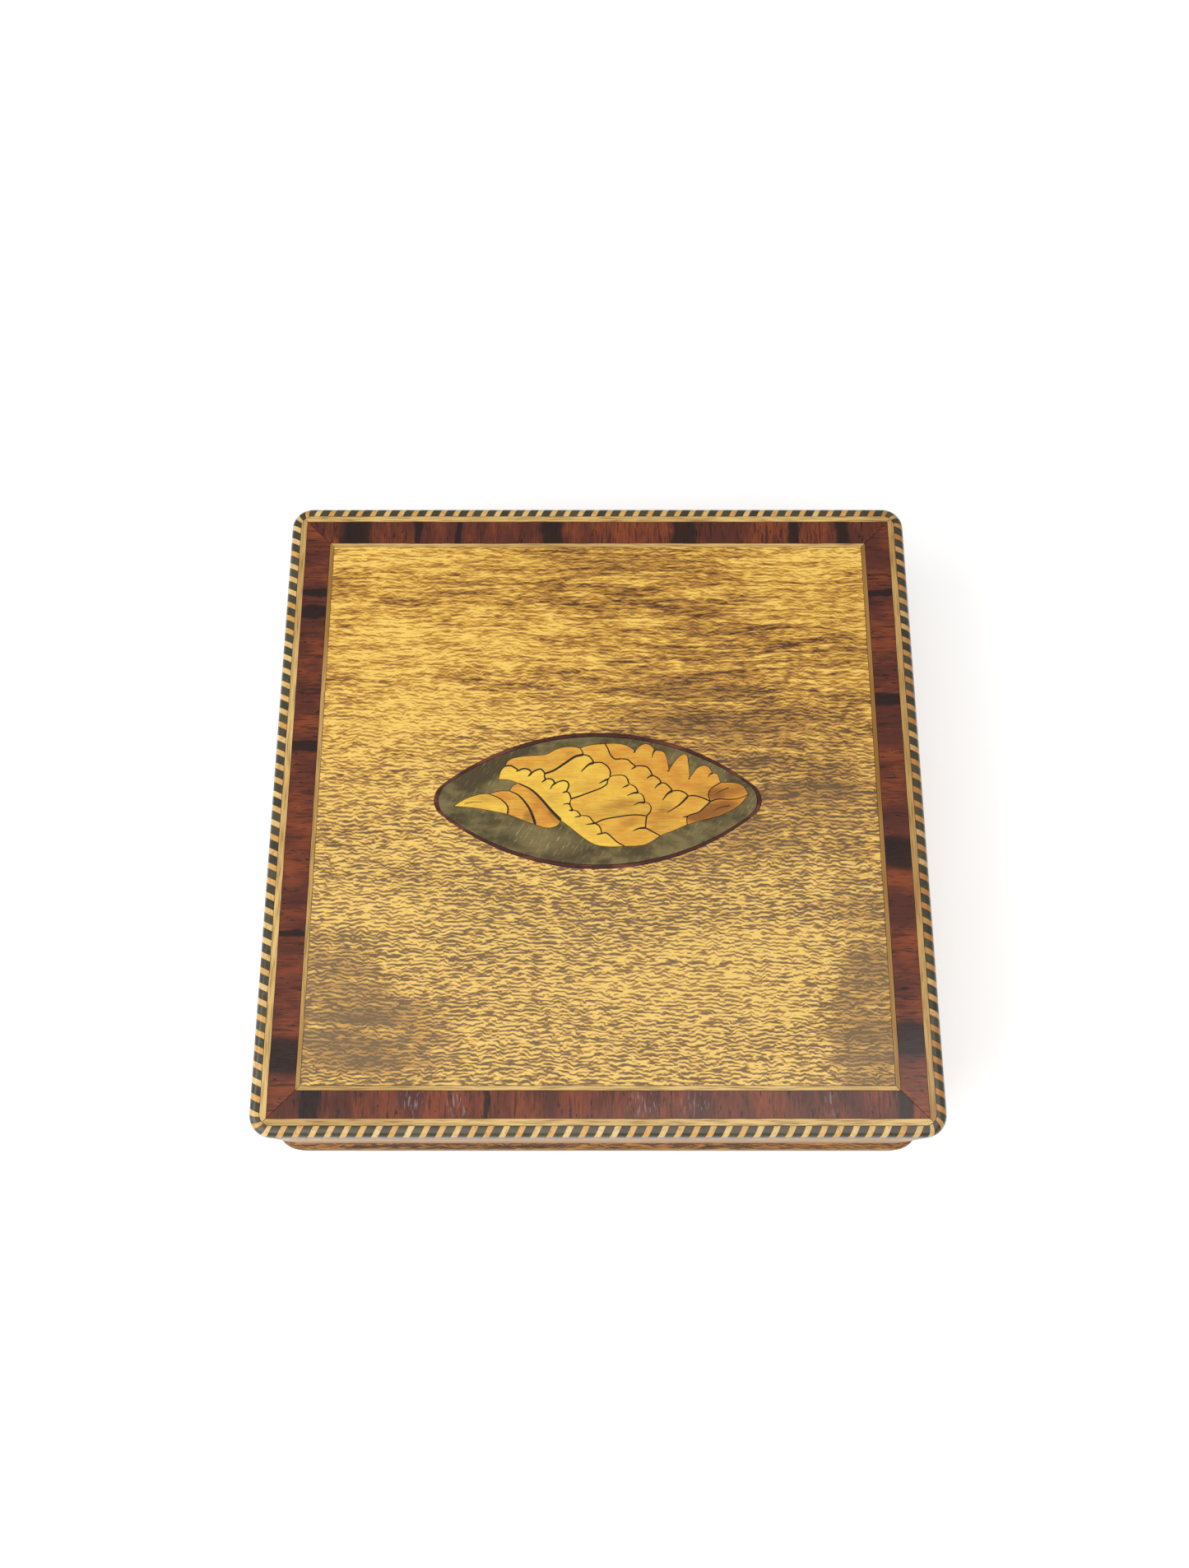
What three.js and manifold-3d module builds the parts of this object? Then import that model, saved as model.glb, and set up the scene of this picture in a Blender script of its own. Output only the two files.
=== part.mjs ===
// A square table box with an inlaid lid and a hidden lock, in millimetres, +Z up.
// The box stands on its base at z = 0, its front faces -Y and the shell lies along X.
// Every part is drawn closed, with the hidden bolt and its stop key drawn back.

import * as THREE from 'three';
import { mergeVertices } from 'three/addons/utils/BufferGeometryUtils.js';
import Module from 'manifold-3d';

const wasm = await Module();
wasm.setup();

// ---------------------------------------------------------------- driving sizes

const BODY = 150;               // side of the square case and lid
const CORNER = 5;               // radius of the upright corners of case and lid
const CASE_HEIGHT = 26.5;       // case walls, from the base to the lid joint
const LID_GROUND = 4.8;         // board under the lid's veneers
const VENEER = 1.0;             // thickness of every veneer on the lid
const WALL = 7;                 // case wall
const LINING = 2.5;             // lining inside three walls
const BOTTOM = 6;               // bottom board of the case
const FLOOR = 1.5;              // floor panel over the bottom board

const BASE_HEIGHT = 8.3;        // sliding base
const BASE_LEDGE = 1.5;         // how far the base stands out past the case
const MOULDING = 5.4;           // width of the base moulding, seen from above
const BASE_TRAVEL = 26;         // how far the base slides out to the right

const GLUE_LINE = 0.1;          // joint between glued neighbours
const SLIDE_FIT = 0.2;          // joint between parts that slide or lift
const RUN_FIT = 0.3;            // room round the bolt, the key and the rails

const CROSSBAND = 5.85;         // rosewood banding
const INNER_LINE = 1.05;        // boxwood line inside the banding
const OUTER_LINE = 1.5;         // boxwood line outside the banding
const ROPE = 2.4;               // width of the rope stringing on the lid's edge
const ROPE_DEPTH = 2.4;         // height of the rope stringing
const ROPE_ROUND = 1.6;         // rounding of the lid's top edge

const NAVETTE_LENGTH = 75;      // pointed oval round the shell, over its dark line
const NAVETTE_WIDTH = 32.4;
const NAVETTE_LINE = 0.8;       // dark line round the pointed oval
const NAVETTE_TIP = 4.6;        // rounding of its two points
const SAW_CUT = 0.12;           // joint between marquetry pieces

const HINGE_SPACING = 90;       // between the middles of the two hinges
const HINGE_LENGTH = 20;
const HINGE_LEAF = 0.9;         // thickness of a leaf
const HINGE_LEAF_DEPTH = 6.4;   // how far a leaf reaches in from the back
const KNUCKLE = 1.5;            // radius of the hinge knuckles
const KNUCKLE_GAP = 0.15;       // drawn back at each meeting of two knuckles
const BED_FIT = 0.1;            // room under a hinge leaf in its bed
const PIN = 0.7;                // radius of the hinge pins
const PIN_FIT = 0.06;           // radial room round a pin

const RAIL_SPACING = 80;        // between the middles of the two dovetail rails
const RAIL_DEPTH = 3.8;
const RAIL_NECK = 5.5;          // width of a rail at the case
const RAIL_FOOT = 8.5;          // width of a rail at its lower face
const RAIL_RIGHT = 60;          // right-hand end of the rails

const BOLT_TRAVEL = 6;          // how far the bolt slides
const BOLT_WIDTH = 4.2;         // bolt bar, front to back
const BOLT_HEIGHT = 4.4;
const BOLT_DROP = 4;            // from the top of the case to the top of the bar
const NOSE_LENGTH = 7.7;        // thinner end of the bolt that enters the catch
const NOSE_WIDTH = 2.0;
const NOSE_HEIGHT = 2.4;
const TAIL = 5;                 // length along X of the bolt's upright tail
const FOOT_HEIGHT = 3;          // foot of the bolt, in the bottom board
const FOOT_BACK = 5;            // width of the foot, front to back
const NOTCH_DEPTH = 2.4;        // notches in the foot for the stop key
const LOCK_WALL = 2;            // wood left between the bolt and the compartment

const CATCH_THICK = 2;          // hanging brass plate of the catch
const CATCH_WIDTH = 5.4;
const CATCH_LENGTH = 14;        // its flange under the lid, along X
const CATCH_FLANGE = 1;
const CATCH_EYE_FIT = 0.7;      // room round the bolt's nose in the eye
const CATCH_RIM = 1.5;          // brass left under the eye

const KEY_TRAVEL = 2.6;         // how far the stop key slides
const KEY_PEG = 2.4;            // width of its peg
const KEY_PEG_LENGTH = 4;
const KEY_LENGTH = 9;
const KEY_NECK = 5;             // width in the mouth of its slot
const KEY_FLANGE = 8.2;         // width above the mouth
const KEY_MOUTH = 2.5;          // depth of the mouth, up from the case's underside
const KEY_FLANGE_HEIGHT = 2;
const KEY_SINK = 0.6;           // how far key and foot stay above the underside

const ARC_STEPS = 6;            // facets in each quarter of a rounded corner
const ROUND_SIDES = 24;         // sides of a small round part

// ------------------------------------------------------ places worked out from them

const HALF = BODY / 2;
const BASE_HALF = HALF + BASE_LEDGE;
const BASE_CORNER = CORNER + BASE_LEDGE;
const PLATE_HALF = BASE_HALF - MOULDING;
const CASE_FOOT = BASE_HEIGHT + SLIDE_FIT;
const CASE_TOP = CASE_FOOT + CASE_HEIGHT;
const LID_FOOT = CASE_TOP + SLIDE_FIT;
const VENEER_FOOT = LID_FOOT + LID_GROUND;
const LID_TOP = VENEER_FOOT + VENEER;
const ROOM = HALF - WALL;
const BOTTOM_TOP = CASE_FOOT + BOTTOM;
const FLOOR_TOP = BOTTOM_TOP + FLOOR;
const LINING_TOP = CASE_TOP - SLIDE_FIT;

const ROPE_INSIDE = HALF - ROPE;
const BAND_OUTSIDE = ROPE_INSIDE - OUTER_LINE;
const BAND_INSIDE = BAND_OUTSIDE - CROSSBAND;
const FIELD_HALF = BAND_INSIDE - INNER_LINE;

const RAIL_LEFT = -PLATE_HALF + BASE_TRAVEL + RUN_FIT;

const BOLT_Y = -ROOM + RUN_FIT * 2 + CATCH_WIDTH / 2;
const BOLT_TOP = CASE_TOP - BOLT_DROP;
const BOLT_Z = BOLT_TOP - BOLT_HEIGHT / 2;
const CATCH_X = 0;
const NOSE_TIP = CATCH_X - CATCH_THICK / 2 - RUN_FIT;
const FOOT_LEFT = -ROOM + RUN_FIT * 2;
const FOOT_FRONT = -ROOM + RUN_FIT * 2;
const FOOT_REAR = FOOT_FRONT + FOOT_BACK;
const FOOT_Z = CASE_FOOT + KEY_SINK;
const NOTCH_WIDTH = KEY_PEG + RUN_FIT * 2;
const NOTCH_LEFT = FOOT_LEFT + NOTCH_WIDTH / 2 + 1;
const KEY_X = NOTCH_LEFT + BOLT_TRAVEL;
const FOOT_RIGHT = KEY_X + NOTCH_WIDTH / 2 + 1;
const LOCK_REAR = BOLT_Y + CATCH_WIDTH / 2 + RUN_FIT * 2 + LOCK_WALL;
const KEY_FRONT = FOOT_REAR + RUN_FIT * 2;

// ---------------------------------------------------------------- finishes

const FINISH = {
  satinwood: { color: 0xc99a55, roughness: 0.28, metalness: 0 },
  rosewood: { color: 0x6d4439, roughness: 0.26, metalness: 0 },
  boxwood: { color: 0xd2a85d, roughness: 0.3, metalness: 0 },
  rope: { color: 0xa9976a, roughness: 0.32, metalness: 0 },
  darkLine: { color: 0x5a3a30, roughness: 0.3, metalness: 0 },
  harewood: { color: 0x6f6244, roughness: 0.3, metalness: 0 },
  shell: { color: 0xdcaa4a, roughness: 0.28, metalness: 0 },
  shellShade: { color: 0xc38a45, roughness: 0.28, metalness: 0 },
  mahogany: { color: 0x7a4a2c, roughness: 0.45, metalness: 0 },
  cedar: { color: 0xa9714a, roughness: 0.6, metalness: 0 },
  brass: { color: 0xb58b3e, roughness: 0.35, metalness: 1 },
};

// ---------------------------------------------------------------- shape helpers

function slab(shape, low, high) {
  const options = { depth: high - low, bevelEnabled: false, curveSegments: ARC_STEPS };
  return new THREE.ExtrudeGeometry(shape, options).translate(0, 0, low);
}

function block(x, y, z) {
  const [length, depth, height] = [x, y, z].map(([low, high]) => high - low);
  const [midX, midY, midZ] = [x, y, z].map(([low, high]) => (low + high) / 2);
  return new THREE.BoxGeometry(length, depth, height).translate(midX, midY, midZ);
}

// A round bar along X.
function rod(radius, left, right, y, z) {
  const bar = new THREE.CylinderGeometry(radius, radius, right - left, ROUND_SIDES);
  return bar.rotateZ(Math.PI / 2).translate((left + right) / 2, y, z);
}

function toSolid(geometry) {
  const bare = geometry.clone();
  bare.deleteAttribute('normal');
  bare.deleteAttribute('uv');
  const merged = mergeVertices(bare, 1e-4);
  const mesh = new wasm.Mesh({
    numProp: 3,
    vertProperties: new Float32Array(merged.attributes.position.array),
    triVerts: new Uint32Array(merged.index.array),
  });
  return new wasm.Manifold(mesh);
}

function toGeometry(solid) {
  const mesh = solid.getMesh();
  const geometry = new THREE.BufferGeometry();
  geometry.setAttribute('position', new THREE.BufferAttribute(mesh.vertProperties, 3));
  geometry.setIndex(new THREE.BufferAttribute(mesh.triVerts, 1));
  geometry.computeVertexNormals();
  return geometry;
}

function cut(geometry, ...tools) {
  return toGeometry(tools.reduce((solid, tool) => solid.subtract(toSolid(tool)), toSolid(geometry)));
}

function join(geometry, ...others) {
  return toGeometry(others.reduce((solid, other) => solid.add(toSolid(other)), toSolid(geometry)));
}

function overlap(geometry, other) {
  return toGeometry(toSolid(geometry).intersect(toSolid(other)));
}

function roundedSquare(half, radius) {
  const flat = half - radius;
  const shape = new THREE.Shape();
  shape.absarc(flat, flat, radius, 0, Math.PI / 2);
  shape.absarc(-flat, flat, radius, Math.PI / 2, Math.PI);
  shape.absarc(-flat, -flat, radius, Math.PI, 1.5 * Math.PI);
  shape.absarc(flat, -flat, radius, 1.5 * Math.PI, 2 * Math.PI);
  return shape;
}

function rectangle(half) {
  const corners = [[-half, -half], [half, -half], [half, half], [-half, half]];
  return new THREE.Shape(corners.map(([x, y]) => new THREE.Vector2(x, y)));
}

// The front one of four mitred sides, between an inner and an outer square.
function mitredSide(inner, outer, radius) {
  const shrink = GLUE_LINE / Math.SQRT2;
  const points = [new THREE.Vector2(inner - shrink, -inner), new THREE.Vector2(shrink - inner, -inner)];
  if (radius > 0) {
    const flat = outer - radius;
    const mitre = Math.acos(shrink / (radius * Math.SQRT2)) - Math.PI / 4;
    const turns = Array.from({ length: ARC_STEPS + 1 }, (_, i) => mitre * (1 - i / ARC_STEPS));
    const corner = turns.map((turn) => [flat + radius * Math.sin(turn), -flat - radius * Math.cos(turn)]);
    points.push(...corner.map(([x, y]) => new THREE.Vector2(-x, y)));
    points.push(...corner.reverse().map(([x, y]) => new THREE.Vector2(x, y)));
  } else {
    points.push(new THREE.Vector2(shrink - outer, -outer), new THREE.Vector2(outer - shrink, -outer));
  }
  return new THREE.Shape(points);
}

// A solid square with its top and bottom edges rounded.
function roundedPlate(half, radius, low, high, edge) {
  const shape = roundedSquare(half, radius);
  const plate = new THREE.ExtrudeGeometry(shape, {
    depth: high - low - 2 * edge,
    bevelEnabled: true,
    bevelThickness: edge,
    bevelSize: edge,
    bevelOffset: -edge,
    bevelSegments: 4,
    curveSegments: ARC_STEPS,
  });
  return plate.translate(0, 0, low + edge);
}

// ---------------------------------------------------------------- the model tree

const model = new THREE.Group();
model.name = 'inlaid_box';

function place(name, geometry, finish, parent = model) {
  const mesh = new THREE.Mesh(geometry, new THREE.MeshStandardMaterial(FINISH[finish]));
  mesh.name = name;
  parent.add(mesh);
  return mesh;
}

const SIDES = [['front', 0], ['right', 1], ['back', 2], ['left', 3]];

// Four copies of a mitred side, one for each side of the square.
function placeSides(name, geometryOf, finish) {
  for (const [side, quarter] of SIDES) {
    const mesh = place(`${name}_${side}`, geometryOf(side), finish);
    mesh.rotation.z = quarter * Math.PI / 2;
  }
}

// ---------------------------------------------------------------- hinges

const HINGE_Y = HALF;
const HINGE_Z = CASE_TOP + SLIDE_FIT / 2;
const HINGE_PLACES = [['left', -HINGE_SPACING / 2], ['right', HINGE_SPACING / 2]];

function hingeRelief(middle) {
  const reach = HINGE_LENGTH / 2 + RUN_FIT;
  return rod(KNUCKLE + RUN_FIT, middle - reach, middle + reach, HINGE_Y, HINGE_Z);
}

// The shallow bed for one leaf; way is -1 in the case wall and +1 in the lid.
function hingeBed(middle, way) {
  const reach = HINGE_LENGTH / 2 + RUN_FIT;
  const face = way < 0 ? CASE_TOP : LID_FOOT;
  const depth = [face - 1, face + 1];
  depth[way < 0 ? 0 : 1] = face + way * (HINGE_LEAF + BED_FIT);
  const y = [HALF - HINGE_LEAF_DEPTH - RUN_FIT, HALF + 1];
  return block([middle - reach, middle + reach], y, depth);
}

function hingeLeaf(middle, way) {
  const [left, right] = [middle - HINGE_LENGTH / 2, middle + HINGE_LENGTH / 2];
  const third = HINGE_LENGTH / 3;
  const face = way < 0 ? CASE_TOP : LID_FOOT;
  const z = way < 0 ? [face - HINGE_LEAF, face] : [face, face + HINGE_LEAF];
  const plate = block([left, right], [HALF - HINGE_LEAF_DEPTH, HALF - KNUCKLE / 3], z);
  const own = way < 0 ? [[left, left + third], [right - third, right]] : [[left + third, right - third]];
  const other = way < 0 ? [[left + third, right - third]] : [[left, left + third], [right - third, right]];
  const clear = other.map(([a, b]) => rod(KNUCKLE + RUN_FIT, a - KNUCKLE_GAP, b + KNUCKLE_GAP, HINGE_Y, HINGE_Z));
  const trim = own.map(([a, b]) => [a + (a > left ? KNUCKLE_GAP : 0), b - (b < right ? KNUCKLE_GAP : 0)]);
  const knuckles = trim.map(([a, b]) => rod(KNUCKLE, a, b, HINGE_Y, HINGE_Z));
  const leaf = join(cut(plate, ...clear), ...knuckles);
  return cut(leaf, rod(PIN + PIN_FIT, left - 1, right + 1, HINGE_Y, HINGE_Z));
}

for (const [side, middle] of HINGE_PLACES) {
  place(`hinge_leaf_case_${side}`, hingeLeaf(middle, -1), 'brass');
  place(`hinge_leaf_lid_${side}`, hingeLeaf(middle, 1), 'brass');
  const pin = rod(PIN, middle - HINGE_LENGTH / 2, middle + HINGE_LENGTH / 2, HINGE_Y, HINGE_Z);
  place(`hinge_pin_${side}`, pin, 'brass');
}

// ---------------------------------------------------------------- case

function wall(side) {
  const plain = slab(mitredSide(ROOM, HALF, CORNER), CASE_FOOT, CASE_TOP);
  if (side !== 'back') {
    return plain;
  }
  // Sides are drawn at the front and turned, so the hinge cuts are turned back to match.
  const cuts = HINGE_PLACES.flatMap(([, middle]) => [hingeRelief(middle), hingeBed(middle, -1)]);
  return cut(plain, ...cuts.map((tool) => tool.rotateZ(Math.PI)));
}

placeSides('wall', wall, 'satinwood');

function caseBottom() {
  const edge = ROOM - GLUE_LINE;
  const board = slab(rectangle(edge), CASE_FOOT, BOTTOM_TOP);
  const z = [CASE_FOOT - 1, BOTTOM_TOP + 1];
  const footRoom = block([-HALF, FOOT_RIGHT + BOLT_TRAVEL + RUN_FIT], [-HALF, FOOT_REAR + RUN_FIT], z);
  const keyY = [FOOT_REAR, KEY_FRONT + KEY_PEG_LENGTH + KEY_LENGTH + RUN_FIT];
  const neck = KEY_NECK / 2 + RUN_FIT;
  const flange = KEY_FLANGE / 2 + RUN_FIT;
  const mouth = block([KEY_X - neck, KEY_X + neck], keyY, z);
  const slot = block([KEY_X - flange, KEY_X + flange], keyY, [CASE_FOOT + KEY_MOUTH, z[1]]);
  return cut(board, footRoom, mouth, slot);
}

place('case_bottom', caseBottom(), 'mahogany');

function compartmentFloor() {
  const panel = slab(rectangle(ROOM - GLUE_LINE), BOTTOM_TOP, FLOOR_TOP);
  const tailRight = FOOT_LEFT + TAIL + BOLT_TRAVEL + RUN_FIT;
  const z = [BOTTOM_TOP - 1, FLOOR_TOP + 1];
  return cut(panel, block([-HALF, tailRight], [-HALF, BOLT_Y + BOLT_WIDTH / 2 + RUN_FIT], z));
}

place('compartment_floor', compartmentFloor(), 'cedar');

// The thick strip behind the front wall that hides the bolt.
function lockStrip() {
  const edge = ROOM - GLUE_LINE;
  const strip = block([-edge, edge], [-edge, LOCK_REAR], [FLOOR_TOP, LINING_TOP]);
  const front = -HALF;
  const behind = BOLT_Y + BOLT_WIDTH / 2 + RUN_FIT;
  const barZ = [BOLT_TOP - BOLT_HEIGHT - RUN_FIT, BOLT_TOP + RUN_FIT];
  const channel = block([-HALF, NOSE_TIP + BOLT_TRAVEL + RUN_FIT], [front, behind], barZ);
  const tailRight = FOOT_LEFT + TAIL + BOLT_TRAVEL + RUN_FIT;
  const shaft = block([-HALF, tailRight], [front, behind], [FLOOR_TOP - 1, barZ[1]]);
  const catchX = CATCH_THICK / 2 + RUN_FIT * 2;
  const catchLow = BOLT_Z - NOSE_HEIGHT / 2 - CATCH_EYE_FIT - CATCH_RIM - RUN_FIT * 2;
  const mortise = block([CATCH_X - catchX, CATCH_X + catchX],
    [front, BOLT_Y + CATCH_WIDTH / 2 + RUN_FIT * 2], [catchLow, LINING_TOP + 1]);
  return cut(strip, channel, shaft, mortise);
}

place('lock_strip', lockStrip(), 'cedar');

const LINING_Z = [FLOOR_TOP, LINING_TOP];
const LINING_FRONT = LOCK_REAR + GLUE_LINE;
const LINING_OUT = ROOM - GLUE_LINE;
const LINING_IN = LINING_OUT - LINING;
const LINING_SIDE_Y = [LINING_FRONT, LINING_IN - GLUE_LINE];
place('lining_left', block([-LINING_OUT, -LINING_IN], LINING_SIDE_Y, LINING_Z), 'cedar');
place('lining_right', block([LINING_IN, LINING_OUT], LINING_SIDE_Y, LINING_Z), 'cedar');
place('lining_back', block([-LINING_OUT, LINING_OUT], [LINING_IN, LINING_OUT], LINING_Z), 'cedar');

// ---------------------------------------------------------------- dovetail rails and base

// A dovetail section along X; room widens it for the groove that it runs in.
function dovetail(left, right, room, high) {
  const low = CASE_FOOT - RAIL_DEPTH - room;
  const slope = (RAIL_FOOT - RAIL_NECK) / 2 / RAIL_DEPTH;
  const foot = RAIL_FOOT / 2 + room;
  const neck = foot - slope * (high - low);
  const section = new THREE.Shape([[-foot, low], [foot, low], [neck, high], [-neck, high]]
    .map(([y, z]) => new THREE.Vector2(y, z)));
  const bar = new THREE.ExtrudeGeometry(section, { depth: right - left, bevelEnabled: false });
  return bar.rotateX(Math.PI / 2).rotateZ(Math.PI / 2).translate(left, 0, 0);
}

const RAIL_PLACES = [['front', -RAIL_SPACING / 2], ['back', RAIL_SPACING / 2]];
for (const [side, y] of RAIL_PLACES) {
  place(`rail_${side}`, dovetail(RAIL_LEFT, RAIL_RIGHT, 0, CASE_FOOT).translate(0, y, 0), 'mahogany');
}

function basePlate() {
  const grooves = RAIL_PLACES.map(([, y]) => {
    return dovetail(-HALF, RAIL_RIGHT + RUN_FIT, RUN_FIT, CASE_FOOT + 1).translate(0, y, 0);
  });
  return cut(slab(rectangle(PLATE_HALF - GLUE_LINE), 0, BASE_HEIGHT), ...grooves);
}

place('base_plate', basePlate(), 'mahogany');

function moulding() {
  const side = slab(mitredSide(PLATE_HALF, BASE_HALF + 1, BASE_CORNER + 1), 0, BASE_HEIGHT);
  const outside = roundedPlate(BASE_HALF, BASE_CORNER, -BASE_HEIGHT, BASE_HEIGHT, BASE_LEDGE);
  return overlap(side, outside);
}

placeSides('moulding', moulding, 'satinwood');

// ---------------------------------------------------------------- hidden bolt, catch and stop key

function bolt() {
  const y = [BOLT_Y - BOLT_WIDTH / 2, BOLT_Y + BOLT_WIDTH / 2];
  const bar = block([FOOT_LEFT, NOSE_TIP - NOSE_LENGTH], y, [BOLT_TOP - BOLT_HEIGHT, BOLT_TOP]);
  const nose = block([NOSE_TIP - NOSE_LENGTH - 1, NOSE_TIP],
    [BOLT_Y - NOSE_WIDTH / 2, BOLT_Y + NOSE_WIDTH / 2],
    [BOLT_Z - NOSE_HEIGHT / 2, BOLT_Z + NOSE_HEIGHT / 2]);
  const tail = block([FOOT_LEFT, FOOT_LEFT + TAIL], y, [FOOT_Z, BOLT_TOP]);
  const foot = block([FOOT_LEFT, FOOT_RIGHT], [FOOT_FRONT, FOOT_REAR], [FOOT_Z, FOOT_Z + FOOT_HEIGHT]);
  const notches = [NOTCH_LEFT, KEY_X].map((x) => {
    const reach = NOTCH_WIDTH / 2;
    return block([x - reach, x + reach], [FOOT_REAR - NOTCH_DEPTH, FOOT_REAR + 1],
      [FOOT_Z - 1, FOOT_Z + FOOT_HEIGHT + 1]);
  });
  return join(cut(foot, ...notches), bar, nose, cut(tail, ...notches));
}

place('bolt', bolt(), 'brass');

function stopKey() {
  const y = [KEY_FRONT + KEY_PEG_LENGTH, KEY_FRONT + KEY_PEG_LENGTH + KEY_LENGTH];
  const flangeLow = CASE_FOOT + KEY_MOUTH + RUN_FIT;
  const peg = block([KEY_X - KEY_PEG / 2, KEY_X + KEY_PEG / 2], [KEY_FRONT, y[0] + 1],
    [FOOT_Z, FOOT_Z + FOOT_HEIGHT]);
  const neck = block([KEY_X - KEY_NECK / 2, KEY_X + KEY_NECK / 2], y, [FOOT_Z, flangeLow + 1]);
  const flange = block([KEY_X - KEY_FLANGE / 2, KEY_X + KEY_FLANGE / 2], y,
    [flangeLow, flangeLow + KEY_FLANGE_HEIGHT]);
  return join(flange, neck, peg);
}

place('stop_key', stopKey(), 'brass');

const CATCH_FLANGE_Y = [BOLT_Y - CATCH_WIDTH / 2, BOLT_Y + CATCH_WIDTH / 2];

function catchPlate() {
  const eyeHigh = NOSE_HEIGHT / 2 + CATCH_EYE_FIT;
  const eyeWide = NOSE_WIDTH / 2 + CATCH_EYE_FIT;
  const x = [CATCH_X - CATCH_THICK / 2, CATCH_X + CATCH_THICK / 2];
  const plate = block(x, CATCH_FLANGE_Y, [BOLT_Z - eyeHigh - CATCH_RIM, LID_FOOT + CATCH_FLANGE / 2]);
  const eye = block([x[0] - 1, x[1] + 1], [BOLT_Y - eyeWide, BOLT_Y + eyeWide],
    [BOLT_Z - eyeHigh, BOLT_Z + eyeHigh]);
  const flange = block([CATCH_X - CATCH_LENGTH / 2, CATCH_X + CATCH_LENGTH / 2], CATCH_FLANGE_Y,
    [LID_FOOT, LID_FOOT + CATCH_FLANGE]);
  return join(cut(plate, eye), flange);
}

place('catch_plate', catchPlate(), 'brass');

// ---------------------------------------------------------------- lid board and bandings

function lidGround() {
  const lower = slab(roundedSquare(HALF, CORNER), LID_FOOT, LID_TOP - ROPE_DEPTH);
  const inside = ROPE_INSIDE - GLUE_LINE;
  const upper = slab(roundedSquare(inside, Math.max(CORNER - ROPE - GLUE_LINE, GLUE_LINE)),
    LID_TOP - ROPE_DEPTH - 1, VENEER_FOOT);
  const hinges = HINGE_PLACES.flatMap(([, middle]) => [hingeRelief(middle), hingeBed(middle, 1)]);
  const bed = block(
    [CATCH_X - CATCH_LENGTH / 2 - RUN_FIT, CATCH_X + CATCH_LENGTH / 2 + RUN_FIT],
    [CATCH_FLANGE_Y[0] - RUN_FIT, CATCH_FLANGE_Y[1] + RUN_FIT],
    [LID_FOOT - 1, LID_FOOT + CATCH_FLANGE],
  );
  return cut(join(lower, upper), ...hinges, bed);
}

place('lid_ground', lidGround(), 'mahogany');

function ropeLine() {
  const inner = ROPE_INSIDE;
  const side = slab(mitredSide(inner, HALF + 1, CORNER + 1), LID_TOP - ROPE_DEPTH, LID_TOP);
  return overlap(side, roundedPlate(HALF, CORNER, LID_FOOT - LID_TOP, LID_TOP, ROPE_ROUND));
}

function band(inner, outer, radius) {
  return slab(mitredSide(inner, outer - GLUE_LINE, radius), VENEER_FOOT, LID_TOP);
}

placeSides('rope_line', ropeLine, 'rope');
const OUTER_ROUND = Math.max(CORNER - ROPE - GLUE_LINE, 0);
placeSides('outer_line', () => band(BAND_OUTSIDE, ROPE_INSIDE, OUTER_ROUND), 'boxwood');
placeSides('crossband', () => band(BAND_INSIDE, BAND_OUTSIDE, 0), 'rosewood');
placeSides('inner_line', () => band(FIELD_HALF, BAND_INSIDE, 0), 'boxwood');

// ---------------------------------------------------------------- pointed oval

// Each long side is one arc, and a small arc rounds each point.
function navette(length, width, tip) {
  const rise = width / 2;
  const tipX = length / 2 - tip;
  const radius = (tipX ** 2 + rise ** 2 - tip ** 2) / (2 * (rise - tip));
  const drop = radius - rise;
  const turn = Math.atan2(drop, tipX);
  const shape = new THREE.Shape();
  shape.absarc(tipX, 0, tip, -turn, turn);
  shape.absarc(0, -drop, radius, turn, Math.PI - turn);
  shape.absarc(-tipX, 0, tip, Math.PI - turn, Math.PI + turn);
  shape.absarc(0, drop, radius, Math.PI + turn, 2 * Math.PI - turn);
  return shape;
}

function navetteShape(shrink) {
  return navette(NAVETTE_LENGTH - 2 * shrink, NAVETTE_WIDTH - 2 * shrink, NAVETTE_TIP);
}

const NAVETTE_STEPS = 24;

function inlay(shape, hole) {
  const options = { depth: VENEER, bevelEnabled: false, curveSegments: NAVETTE_STEPS };
  if (hole) {
    shape.holes.push(new THREE.Path(hole.getPoints(NAVETTE_STEPS)));
  }
  return new THREE.ExtrudeGeometry(shape, options).translate(0, 0, VENEER_FOOT);
}

place('field', inlay(rectangle(FIELD_HALF - GLUE_LINE), navetteShape(-SAW_CUT)), 'satinwood');
place('navette_line', inlay(navetteShape(0), navetteShape(NAVETTE_LINE)), 'darkLine');

// ---------------------------------------------------------------- shell

// The shell is drawn for an oval of DRAWN_LENGTH by DRAWN_WIDTH and follows the real oval.
const DRAWN_LENGTH = 75;
const DRAWN_WIDTH = 32.4;
const SHELL_X = NAVETTE_LENGTH / DRAWN_LENGTH;
const SHELL_Y = NAVETTE_WIDTH / DRAWN_WIDTH;

function curve(...points) {
  const spline = new THREE.SplineCurve(points.map(([x, y]) => new THREE.Vector2(x * SHELL_X, y * SHELL_Y)));
  return spline.getPoints((points.length - 1) * 3);
}

// Curves end to end, with a sharp turn between each and the next.
function runs(...lobes) {
  return lobes.flatMap((lobe) => curve(...lobe));
}

function back(points) {
  return [...points].reverse();
}

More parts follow.
